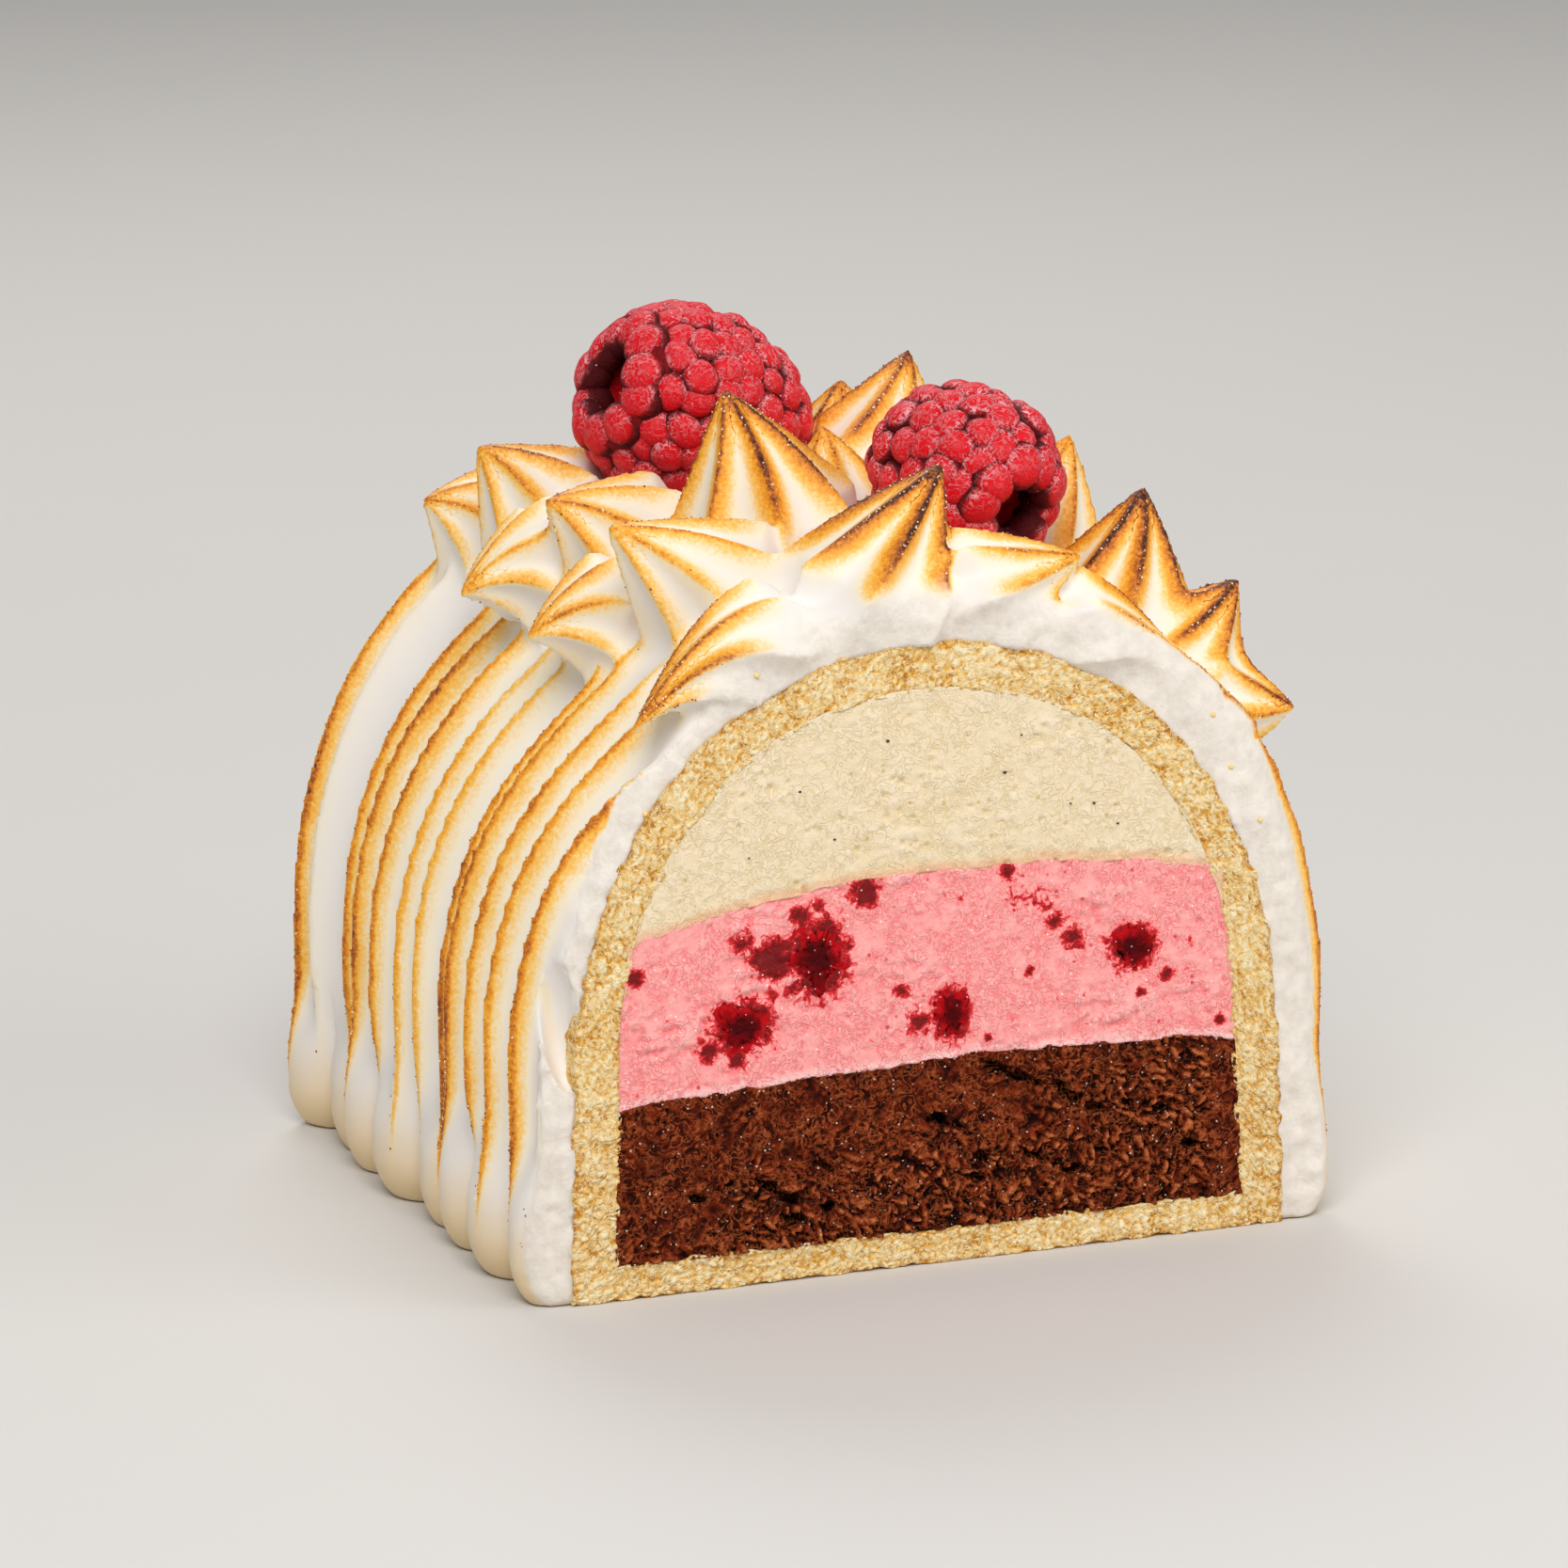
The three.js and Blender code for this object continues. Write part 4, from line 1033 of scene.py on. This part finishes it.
def nearest_arch(x, z):
    """For points in the cut's plane: the way out of the sponge and the place along its arch."""
    along = np.linspace(-1, 1, 700)
    line_x, line_z = arch_line(SPONGE_ARCH, along)
    slope_x, slope_z = np.gradient(line_x), np.gradient(line_z)
    away, place = np.empty((2, len(x)))
    batch = 20000
    for start in range(0, len(x), batch):
        part = slice(start, start + batch)
        dx, dz = x[part, None] - line_x, z[part, None] - line_z
        best = np.argmin(dx * dx + dz * dz, 1)
        rows = np.arange(len(best))
        dx, dz = dx[rows, best], dz[rows, best]
        side = np.sign(dz * slope_x[best] - dx * slope_z[best])
        away[part] = side * np.hypot(dx, dz)
        place[part] = along[best]
    return away, place


def skin(field, step, origin):
    """Closes a surface of quads over the zero level of a field that is negative inside."""
    inside = field < 0
    size = np.array(field.shape) - 1
    corners = [(c & 1, c >> 1 & 1, c >> 2 & 1) for c in range(8)]
    shifted = [tuple(slice(o, o + n) for o, n in zip(corner, size)) for corner in corners]
    count = sum(inside[part].astype(np.int8) for part in shifted)
    active = (count > 0) & (count < 8)
    cells = np.argwhere(active)
    index = np.full(active.shape, -1, np.int64)
    index[active] = np.arange(len(cells))
    values = [field[part][active] for part in shifted]
    total = np.zeros((len(cells), 3))
    hits = np.zeros(len(cells))
    for one in range(8):
        for axis in range(3):
            if one >> axis & 1:
                continue
            two = one | 1 << axis
            crossed = (values[one] < 0) != (values[two] < 0)
            gap = np.where(crossed, values[one] - values[two], 1.0)
            point = np.tile(np.array(corners[one], float), (len(cells), 1))
            point[:, axis] += np.where(crossed, values[one] / gap, 0.0)
            total += np.where(crossed[:, None], point, 0.0)
            hits += crossed
    vertices = (cells + total / hits[:, None]) * step + origin
    quads = []
    for axis in range(3):
        low, high = [slice(None)] * 3, [slice(None)] * 3
        low[axis], high[axis] = slice(0, -1), slice(1, None)
        edge = np.argwhere(inside[tuple(low)] != inside[tuple(high)])
        solid_below = inside[tuple(edge.T)]
        ring = []
        for back_side, back_other in ((0, 0), (1, 0), (1, 1), (0, 1)):
            cell = edge.copy()
            cell[:, (axis + 1) % 3] -= back_side
            cell[:, (axis + 2) % 3] -= back_other
            ring.append(index[tuple(cell.T)])
        quad = np.stack(ring, 1)
        quads.append(np.where(solid_below[:, None], quad, quad[:, ::-1]))
    return vertices, np.concatenate(quads)


def pipe_meringue():
    """The coat and its peaks as one field over the whole slice."""
    counts = np.ceil((PIPING_HIGH - PIPING_LOW) / PIPING_STEP).astype(int) + 1
    lines = [PIPING_LOW[k] + PIPING_STEP * np.arange(counts[k]) for k in range(3)]
    x, y, z = np.ix_(*lines)
    flat_x, flat_z = (part.ravel() for part in np.meshgrid(lines[0], lines[2], indexing="ij"))
    away, place = (part.reshape(counts[0], 1, counts[2]) for part in nearest_arch(flat_x, flat_z))
    field = np.empty(counts, np.float32)
    for side in (-1, 1):
        half = lines[0] < 0 if side < 0 else lines[0] >= 0
        field[half] = away[half] - coat_thickness(side, np.abs(place[half]), y, z)
    face = face_places(flat_x, flat_z)
    torn = 0.25 * drift(face, 3.0, 61) + 0.2 * drift(face, 1.2, 62)
    cut = np.abs(y) - HALF_DEPTH + CUT_SINK - torn.reshape(away.shape)
    soft = CUT_ROUND["front"] + (CUT_ROUND["front_left"] - CUT_ROUND["front"]) * ease(-x, 10.0, 30.0)
    soft = np.where(y < 0, soft, CUT_ROUND["back"])
    field = -run_together(-field, -cut, soft)
    (middle_x, middle_y, middle_z), half = AIR_POCKET["middle"], AIR_POCKET["half"]
    pocket = np.sqrt(
        ((x - middle_x - AIR_POCKET["lean"] * (z - middle_z)) / half[0]) ** 2
        + ((y - middle_y) / half[1]) ** 2 + ((z - middle_z) / half[2]) ** 2
    )
    field = np.maximum(field, (1 - pocket) * half[0])
    for peak in PEAKS:
        reach = peak.size + 4
        parts = []
        for line, *ends in zip(lines, peak.belly, peak.tip):
            parts.append(slice(*np.searchsorted(line, [min(ends) - reach, max(ends) + reach])))
        near = np.ix_(*(line[part] for line, part in zip(lines, parts)))
        out = peak_field(peak, *near)[0]
        field[tuple(parts)] = run_together(field[tuple(parts)], out, PIPED_BLEND)
    field = np.maximum(field, -SPONGE_BITE - away)
    field = np.maximum(field, -z)
    for berry in RASPBERRIES.values():
        field = np.maximum(field, berry_pocket(berry, x, y, z))
    return field


def torch_meringue(vertices, normals):
    """How far each place is browned, how burnt its rib's crest is, its signed way from that crest, and how
    much of it is torn by the cut."""
    x, y, z = vertices.T
    away, place = nearest_arch(x, z)
    share = ease(np.abs(place), *STRAND_FADE)
    coat, toast, char, crest = np.zeros((4, len(x)))
    width, widening, power, toasting, charring = RIB_FLAME.values()
    for side in (-1, 1):
        half = x < 0 if side < 0 else x >= 0
        places, dark = (np.array(column) for column in zip(*SIDES[side][0]))
        number, gap, part = between_ribs(y[half] + sway(y[half], z[half], side), places)
        behind, before = gap * (1 - part), gap * part
        coat[half] = away[half] - coat_thickness(side, np.abs(place[half]), y[half], z[half])
        # The flame came from the front, so a rib is browned wider on its front than on its back
        glow = dark[number] * np.exp(-((behind / (width + widening * z[half])) ** power))
        glow += 0.6 * dark[number - 1] * np.exp(-before / 0.25)
        reach = share[half] * ease(z[half], *FLAME_HEIGHTS)
        toast[half] = toasting * glow * reach
        char[half] = charring * np.where(before < behind, dark[number - 1], dark[number]) * reach
        crest[half] = np.where(before < behind, before, -behind) + CREST_SHIFT
    torn = ease(np.abs(normals[:, 1]), 0.55, 0.85) * (np.abs(y) > HALF_DEPTH - 1.2)
    # The air pocket and what is cut are left white
    _, pocket_y, pocket_z = AIR_POCKET["middle"]
    hollow = np.hypot((y - pocket_y) / 3.4, (z - pocket_z) / 8.0) < 1
    bare = (1 - torn) * np.where(hollow & (x < -36.5) & (away < 3.6), 0.0, 1.0)
    fields, toasts, chars, crests = [coat], [toast * bare], [char * bare], [crest]
    lit = np.clip(0.6 + 0.7 * normals[:, 2], 0.1, 1)
    width, widening, power, toasting, charring = PEAK_FLAME.values()
    for number, peak in enumerate(PEAKS):
        out, t, way, rib = peak_field(peak, x, y, z)
        own = 0.55 + 0.45 * grit(rib.astype(np.int64) % PEAK_RIBS, number, 0, 90)
        # The gold and the burnt line narrow towards the tip, as the rib does
        radius = peak.size * np.clip(1 - t, 0.05, 1) ** PEAK_TAPER
        glow = np.exp(-((np.abs(way) / (width + widening * radius)) ** power)) * ease(t, -0.25, 0.4)
        torch = peak.torch * lit
        fields.append(out)
        toasts.append((toasting * glow * (0.45 + 0.55 * own) + 0.12 * ease(t, 0.7, 1.0)) * torch)
        burn = charring * ease(t, 0.05, 0.55) * (1 - 0.6 * ease(t, 0.8, 1.0))
        chars.append(burn * np.minimum(torch, 1.1) * own)
        crests.append(way * np.maximum(1, 1.4 * PEAK_RIBS / (math.pi * radius)))
    fields = np.array(fields)
    weight = np.exp(-(fields - fields.min(0)) / 0.6)
    weight /= weight.sum(0)
    uneven = (1 + 0.3 * drift(vertices, 6.0, 71) + 0.15 * drift(vertices, 1.6, 72)) * (away > 0.6)
    nearest = fields.argmin(0)[None]
    char, crest = (np.take_along_axis(np.array(marks), nearest, 0)[0] for marks in (chars, crests))
    # Halfway between two ribs the signed way jumps, and nothing is burnt there
    char = char * (1 - ease(np.abs(crest), 0.8, 1.5))
    toast = np.clip((weight * np.array(toasts)).sum(0) * uneven, 0, 1)
    return toast, np.clip(char * uneven, 0, 1), crest, torn * weight[0]


def make_meringue(material):
    vertices, faces = skin(pipe_meringue(), PIPING_STEP, PIPING_LOW)
    piece = make_piece("piped_meringue", vertices, faces.tolist(), material)
    thin = piece.modifiers.new("thin", "DECIMATE")
    thin.ratio = min(1.0, MERINGUE_TRIANGLES / (2 * len(faces)))
    settle(piece)
    vertices, normals, _ = read_mesh(piece.data)
    marks = dict(zip(("toast", "char", "crest", "torn"), torch_meringue(vertices, normals)))
    set_marks(piece.data, {**marks, "foot": 1 - ease(vertices[:, 2], *FOOT_HEIGHTS)})
    piece.data.shade_smooth()
    return piece


# Scattered and repeated pieces

def peak_crests(peak):
    """Places along the crests of a peak's ribs."""
    belly, tip, size = peak.belly, peak.tip, peak.size
    axis, rise, bend, across, over = peak_axes(peak)
    t = np.linspace(-0.1, 0.985, int(1.3 * math.dist(belly, tip) / BEAD_PITCH))
    up = np.clip(t, 0, 1)
    middle = np.array(belly) + np.outer(np.where(t < 0, PEAK_BACK * size, rise) * t, axis)
    middle = middle + np.outer(up ** 2, bend)
    radius = size * np.where(t > 0, (1 - up) ** PEAK_TAPER, np.sqrt(1 - t * t))
    crests = []
    for rib in range(PEAK_RIBS):
        angle = 2 * math.pi * (rib + peak.turn) / PEAK_RIBS + PEAK_TWIST * up
        ray = np.outer(np.cos(angle), across) + np.outer(np.sin(angle), over)
        crests.append(middle + ray * radius[:, None])
    return np.concatenate(crests)


def strand_crests(side):
    """Places along the crests of one side's ribs."""
    along = side * np.linspace(0.2, 0.93, 200)
    x, z = arch_line(SPONGE_ARCH, along)
    slope_x, slope_z = np.gradient(x), np.gradient(z)
    normal = side * np.stack([-slope_z, 0 * x, slope_x], 1) / np.hypot(slope_x, slope_z)[:, None]
    crests = []
    for place, _ in SIDES[side][0]:
        y = place
        for _ in range(5):
            y = place - sway(y, z, side)
        thick = coat_thickness(side, np.abs(along), y, z)
        crests.append(np.stack([x, y, z], 1) + normal * thick[:, None])
    return np.concatenate(crests)


def sugar_seats(meringue):
    """Seats for the sugar beads, in uneven rows on burnt crests, and for a few drops of syrup in front."""
    luck = np.random.default_rng(17)
    places = np.concatenate([peak_crests(peak) for peak in PEAKS] + [strand_crests(side) for side in SIDES])
    places = places + 0.2 * luck.normal(size=places.shape)
    drops = np.array([(x, -HALF_DEPTH, z) for x, z in SYRUP_DROPS])
    surface = BVHTree.FromObject(meringue, bpy.context.evaluated_depsgraph_get())
    seats, normals, off = [], [], []
    for place in np.concatenate([places, drops]):
        spot, normal, _, far = surface.find_nearest(Vector(place * MM))
        seats.append(np.array(spot) / MM)
        normals.append(normal)
        off.append(far / MM)
    char = torch_meringue(np.array(seats), np.array(normals))[1]
    kept = (np.array(off) < 0.6) & (luck.random(len(seats)) < BEADS_KEPT * char)
    sizes = BEAD_SIZE * (0.6 + 0.7 * luck.random(len(seats)))
    # Each bead's tone on the sugar's ramp; the high tones are painted highlights
    tones_and_glints = luck.random(len(seats))
    last = slice(-len(drops), None)
    kept[last], sizes[last], tones_and_glints[last] = True, SYRUP_SIZE, SYRUP_SHADE
    return seat_mesh(np.array(seats)[kept], seat_size=sizes[kept] * MM, seat_shade=tones_and_glints[kept])


def seat_mesh(places, **marks):
    """Points that a tree grows things on, with their marks."""
    mesh = bpy.data.meshes.new("seats")
    mesh.from_pydata((places * MM).tolist(), [], [])
    set_marks(mesh, marks)
    return mesh


def start_tree(name, inputs):
    """A tree that takes seats and the given inputs and gives a mesh, and what it is given."""
    tree = bpy.data.node_groups.new(name, "GeometryNodeTree")
    for label, kind in {"Geometry": "Geometry", **inputs}.items():
        tree.interface.new_socket(name=label, in_out="INPUT", socket_type="NodeSocket" + kind)
    tree.interface.new_socket(name="Geometry", in_out="OUTPUT", socket_type="NodeSocketGeometry")
    return tree, add(tree, "NodeGroupInput").node.outputs


def end_tree(tree, mesh, material):
    done = add(tree, "GeometryNodeSetMaterial", {"Geometry": mesh, "Material": material})
    add(tree, "NodeGroupOutput", {"Geometry": done})
    return tree


def bead_tree(material):
    """A small rough bead on each seat, of the size that the seat gives."""
    tree, given = start_tree("sugar_beads", {"Flatness": "Float", "Seed": "Int"})
    bead = add(tree, "GeometryNodeMeshIcoSphere", {"Radius": 1.0, "Subdivisions": 1})
    size = add(tree, "GeometryNodeInputNamedAttribute", {"Name": "seat_size"})
    shape = add(tree, "ShaderNodeCombineXYZ", [1.0, 0.8, given["Flatness"]])
    scale = add(tree, "ShaderNodeVectorMath", {0: shape, "Scale": size}, operation="SCALE")
    any_way = {1: (6.28, 6.28, 6.28), "Seed": given["Seed"]}
    turn = add(tree, "FunctionNodeRandomValue", any_way, data_type="FLOAT_VECTOR")
    spread = {"Points": given["Geometry"], "Instance": bead, "Rotation": turn, "Scale": scale}
    beads = add(tree, "GeometryNodeInstanceOnPoints", spread)
    return end_tree(tree, add(tree, "GeometryNodeRealizeInstances", [beads]), material)


def drupelet_tree(material):
    """A drupelet on each seat, turned out along the seat's normal and a little uneven."""
    tree, given = start_tree("drupelets", {"Unevenness": "Float"})
    ball = add(tree, "GeometryNodeMeshIcoSphere", {"Radius": 1.0, "Subdivisions": 3})
    normal, size = (
        add(tree, "GeometryNodeInputNamedAttribute", {"Name": mark}, data_type="FLOAT_VECTOR")
        for mark in ("seat_normal", "seat_size")
    )
    turned = add(tree, "FunctionNodeAlignRotationToVector", {"Vector": normal}, axis="Z")
    spread = {"Points": given["Geometry"], "Instance": ball, "Rotation": turned, "Scale": size}
    balls = add(tree, "GeometryNodeInstanceOnPoints", spread)
    real = add(tree, "GeometryNodeRealizeInstances", [balls])
    lumps = add(tree, "ShaderNodeTexNoise", {"Scale": per(2.2), "Detail": 1.0})
    swing = add(tree, "ShaderNodeMapRange", [lumps, 0.3, 0.7, 0.0, given["Unevenness"]])
    out = add(tree, "GeometryNodeInputNormal")
    push = add(tree, "ShaderNodeVectorMath", {0: out, "Scale": swing}, operation="SCALE")
    return end_tree(tree, add(tree, "GeometryNodeSetPosition", {"Geometry": real, "Offset": push}), material)


def grow(name, mesh, tree, inputs):
    """A new piece that a tree grows on the seats."""
    piece = link_object(name, mesh)
    growth = piece.modifiers.new("growth", "NODES")
    growth.node_group = tree
    for item in tree.interface.items_tree:
        if item.in_out == "INPUT" and item.name in inputs:
            growth[item.identifier] = inputs[item.name]
    settle(piece)
    piece.data.shade_smooth()
    return piece


def berry_outline(berry):
    """The line over the drupelets' tops, up to the blunt end: radius, height, way along."""
    share = np.linspace(RIM_SHARE, 1.0, 400)
    up = 2 * share - 1
    radius = berry["width"] / 2 * (1 - 0.14 * up) * np.sqrt(np.clip(1 - np.abs(up) ** 2.6, 0, 1))
    height = (share - 0.5) * berry["length"]
    way = np.concatenate([[0], np.cumsum(np.hypot(np.diff(radius), np.diff(height)))])
    return radius, height, way


def on_outline(outline, here, back, ahead):
    """A place on a raspberry's outline, and the way out of it, square to the run from back to ahead."""
    radius, height, way = outline
    run = [np.interp(ahead, way, part) - np.interp(back, way, part) for part in (radius, height)]
    out = np.array([run[1], -run[0]]) / np.hypot(*run)
    return np.interp(here, way, radius), np.interp(here, way, height), *out


def berry_rows(berry):
    """Rows of drupelets: radius and height of their tops, how they lean, and how many go round."""
    mouth = berry["width"] * HOLLOW_WIDTH / 2
    rows = [(mouth + 1.4, -berry["length"] / 2 + 0.35, 0.45, -0.89)]
    outline = berry_outline(berry)
    length = outline[2][-1]
    count = round(length / (ROW_SHARE * DRUPELET_PITCH))
    for here in np.linspace(0, length, count + 1)[:-1]:
        rows.append(on_outline(outline, here, max(here - 1.2, 0), min(here + 1.2, length)))
    rows.append((0.0, berry["length"] / 2, 0.0, 1.0))
    return [(*row, max(1, round(2 * math.pi * row[0] / DRUPELET_PITCH))) for row in rows]


def berry_seats(berry, seed):
    """Where the drupelets sit about the berry's own axis: middles, normals and half sizes."""
    luck = np.random.default_rng(seed)
    seats, normals, sizes = [], [], []
    for row, (r, h, out, rise, number) in enumerate(berry_rows(berry)):
        wide = DRUPELET_HALF["rim" if row == 0 else "others"]
        for k in range(number):
            angle = 2 * math.pi * ((k + 0.5 * (row % 2) + 0.1 * luck.normal()) / number - berry["turn"])
            normal = np.array([math.cos(angle) * out, math.sin(angle) * out, rise])
            normal = unit(normal + 0.07 * luck.normal(size=3))
            half = wide * DRUPELET_PITCH * (1 + 0.06 * luck.normal(size=2))
            deep = DRUPELET_HALF["depth"] * DRUPELET_PITCH * (1 + 0.06 * luck.normal())
            top = np.array([r * math.cos(angle), r * math.sin(angle), h + 0.2 * luck.normal()])
            seats.append(top - normal * deep * (1.0 + 0.18 * luck.random()))
            normals.append(normal)
            sizes.append((*half, deep))
    return np.array(seats), np.array(normals), np.array(sizes)


def berry_core(berry):
    """The flesh under the drupelets, hollow where the stalk was: vertices and faces about its own axis."""
    rim = -berry["length"] / 2
    deep, mouth = berry["length"] * HOLLOW_DEPTH, berry["width"] * HOLLOW_WIDTH / 2
    profile = [(mouth * wide, deep * up + rim) for up, wide in HOLLOW_SIDES]
    profile += [(mouth + 0.6, 1.3 + rim), (mouth + 2.2, 1.6 + rim)]
    outline = berry_outline(berry)
    for here in np.linspace(0.3, outline[2][-1] - 1.0, CORE_RINGS):
        r, h, out, rise = on_outline(outline, here, here - 0.3, here + 0.3)
        profile.append((max(r - out * DRUPELET_SINK, 0.5), h - rise * DRUPELET_SINK))
    angle = np.linspace(0, 2 * math.pi, CORE_TURNS, endpoint=False)
    rings = [np.stack([r * np.cos(angle), r * np.sin(angle), 0 * angle + h], 1) for r, h in profile]
    ends = np.array([[0, 0, deep + rim], [0, 0, profile[-1][1] + 0.2]])
    return np.concatenate(rings + [ends]), ring_faces(CORE_TURNS, len(rings))


def make_berry(name, berry, tree, material, seed):
    seats, normals, sizes = berry_seats(berry, seed)
    mesh = seat_mesh(seats, seat_normal=normals, seat_size=sizes * MM)
    grown = grow(name + "_drupelets", mesh, tree, {"Unevenness": DRUPELET_UNEVEN * MM})
    vertices, _, faces = read_mesh(grown.data)
    bpy.data.objects.remove(grown)
    core, core_faces = berry_core(berry)
    faces = faces + [[corner + len(vertices) for corner in face] for face in core_faces]
    # The first mark is 0 in the grooves between drupelets and 1 on their tops; it paints the grooves dark, as
    # painted shade. Frost lies round the tops, on the side that faces up.
    turn = np.array(Vector((0, 0, 1)).rotation_difference(Vector(berry["axis"])).to_matrix())
    offset = vertices.reshape(len(seats), -1, 3) - seats[:, None]
    groove_to_top = ease(((offset * normals[:, None]).sum(2) / sizes[:, 2:]).ravel(), 0.45, 0.95)
    facing = (offset @ turn.T)[:, :, 2].ravel() / DRUPELET_PITCH
    hoar = ease(groove_to_top, 0.02, 0.3) * (1 - 0.7 * ease(groove_to_top, 0.5, 0.95)) * ease(facing, -0.4, 0.3)
    hoar *= 0.84 + 0.34 * drift(vertices, 5.0, seed)
    # The hollow is as light as the drupelets' sides; elsewhere the flesh that shows between the drupelets is
    # painted dark, as shade in the grooves
    mouth = berry["width"] * HOLLOW_WIDTH / 2
    inside = np.where(np.hypot(core[:, 0], core[:, 1]) < mouth + 0.1, 0.7, 0.12)
    inside = inside * (core[:, 2] < 0.3 * berry["length"])
    placed = np.concatenate([vertices, core]) @ turn.T + np.array(berry["middle"])
    marks = {"groove_to_top": np.concatenate([groove_to_top, inside]), "hoar": np.concatenate([hoar, 0 * inside])}
    return make_piece(name, placed, faces, material, marks)


# The slice

place_piece(make_sponge(sponge_cake()), "sponge", "sponge_jacket")
place_piece(make_chocolate(chocolate_ice_cream()), "chocolate_ice_cream", "chocolate_ice_cream")
place_piece(make_raspberry(raspberry_ice_cream()), "raspberry_ice_cream", "raspberry_ice_cream")
place_piece(make_vanilla(vanilla_ice_cream()), "vanilla_ice_cream", "vanilla_ice_cream")
fruit_finish = frozen_fruit()
lumps = [(fruit, -1) for fruit in FRUIT_IN_FRONT] + [(fruit, 1) for fruit in FRUIT_BEHIND]
for number, (fruit, side) in enumerate(lumps, 1):
    lump = make_fruit(f"fruit_{number}", fruit, side, fruit_finish, 600 + 10 * number)
    place_piece(lump, "fruit", f"fruit_lump_{number}")
place_piece(make_seeds(vanilla_seed()), "vanilla_ice_cream")

meringue = make_meringue(torched_meringue())
place_piece(meringue, "meringue", "meringue_coat")
sugar_sizes = {"Flatness": 0.8, "Seed": 3}
sugar = grow("burnt_sugar_beads", sugar_seats(meringue), bead_tree(burnt_sugar()), sugar_sizes)
place_piece(sugar, "meringue")

berry_finish = frosted_raspberry()
drupelets = drupelet_tree(berry_finish)
for number, (node, shape) in enumerate(RASPBERRIES.items()):
    berry = make_berry(node.replace("raspberry", "berry"), shape, drupelets, berry_finish, 80 + number)
    place_piece(berry, "raspberry", node)


# The table, the light and the camera

BOARD_HALF = 9e3
BOARD_DROP = 0.05  # how far the board lies below the slice
BOARD_SIGNS = ((-1, -1), (1, -1), (1, 1), (-1, 1))
board_corners = [(x * BOARD_HALF, y * BOARD_HALF, -BOARD_DROP) for x, y in BOARD_SIGNS]
board = make_piece("board", board_corners, [[0, 1, 2, 3]], pale_board())

# Soft lights, in metres: place, width, power
LIGHTS = {
    "key": ((-0.27, -0.6, 0.73), 0.6, 6.0),
    "fill": ((0.6, -0.5, 0.35), 0.7, 2.2),
    "back": ((0.1, 0.6, 0.7), 0.5, 2.8),
}
LIT_POINT = Vector((0, 0, 0.04))
for name, (place, width, power) in LIGHTS.items():
    light = bpy.data.lights.new(name, "AREA")
    light.shape, light.size, light.energy = "DISK", width, power
    lamp = link_object(name, light)
    lamp.location = place
    lamp.rotation_euler = (LIT_POINT - Vector(place)).to_track_quat("-Z", "Y").to_euler()

world = bpy.data.worlds.new("studio")
world.use_nodes = True
world.node_tree.nodes["Background"].inputs["Color"].default_value = linear("f4f3f1")
world.node_tree.nodes["Background"].inputs["Strength"].default_value = 0.34
bpy.context.scene.world = world
bpy.context.scene.view_settings.view_transform = "Standard"

# The photograph's view: turned to the left of the cut, a little above it, and slightly rolled
AZIMUTH, ELEVATION, ROLL = (math.radians(degrees) for degrees in (-19.886, 13.0, -1.063))
TARGET_RIGHT, TARGET_UP, DISTANCE = -13.9326, 47.7144, 838.256
FOCAL_PIXELS, IMAGE_PIXELS, SENSOR = 9000.0, 1667.0, 36.0

back = np.array([
    math.sin(AZIMUTH) * math.cos(ELEVATION), -math.cos(AZIMUTH) * math.cos(ELEVATION), math.sin(ELEVATION)
])
right = np.array([math.cos(AZIMUTH), math.sin(AZIMUTH), 0.0])
up = np.cross(back, right)
eye = TARGET_RIGHT * right + TARGET_UP * up + DISTANCE * back - np.array([0.0, HALF_DEPTH, 0.0])
rolled_right = math.cos(ROLL) * right + math.sin(ROLL) * up
rolled_up = -math.sin(ROLL) * right + math.cos(ROLL) * up
camera_data = bpy.data.cameras.new("camera")
camera_data.sensor_width = SENSOR
camera_data.lens = SENSOR * FOCAL_PIXELS / IMAGE_PIXELS
camera_data.clip_start = 0.05
camera = link_object("camera", camera_data)
camera.matrix_world = Matrix([
    [*(float(axis[k]) for axis in (rolled_right, rolled_up, back)), float(eye[k]) * MM] for k in range(3)
] + [[0, 0, 0, 1]])
bpy.context.scene.camera = camera
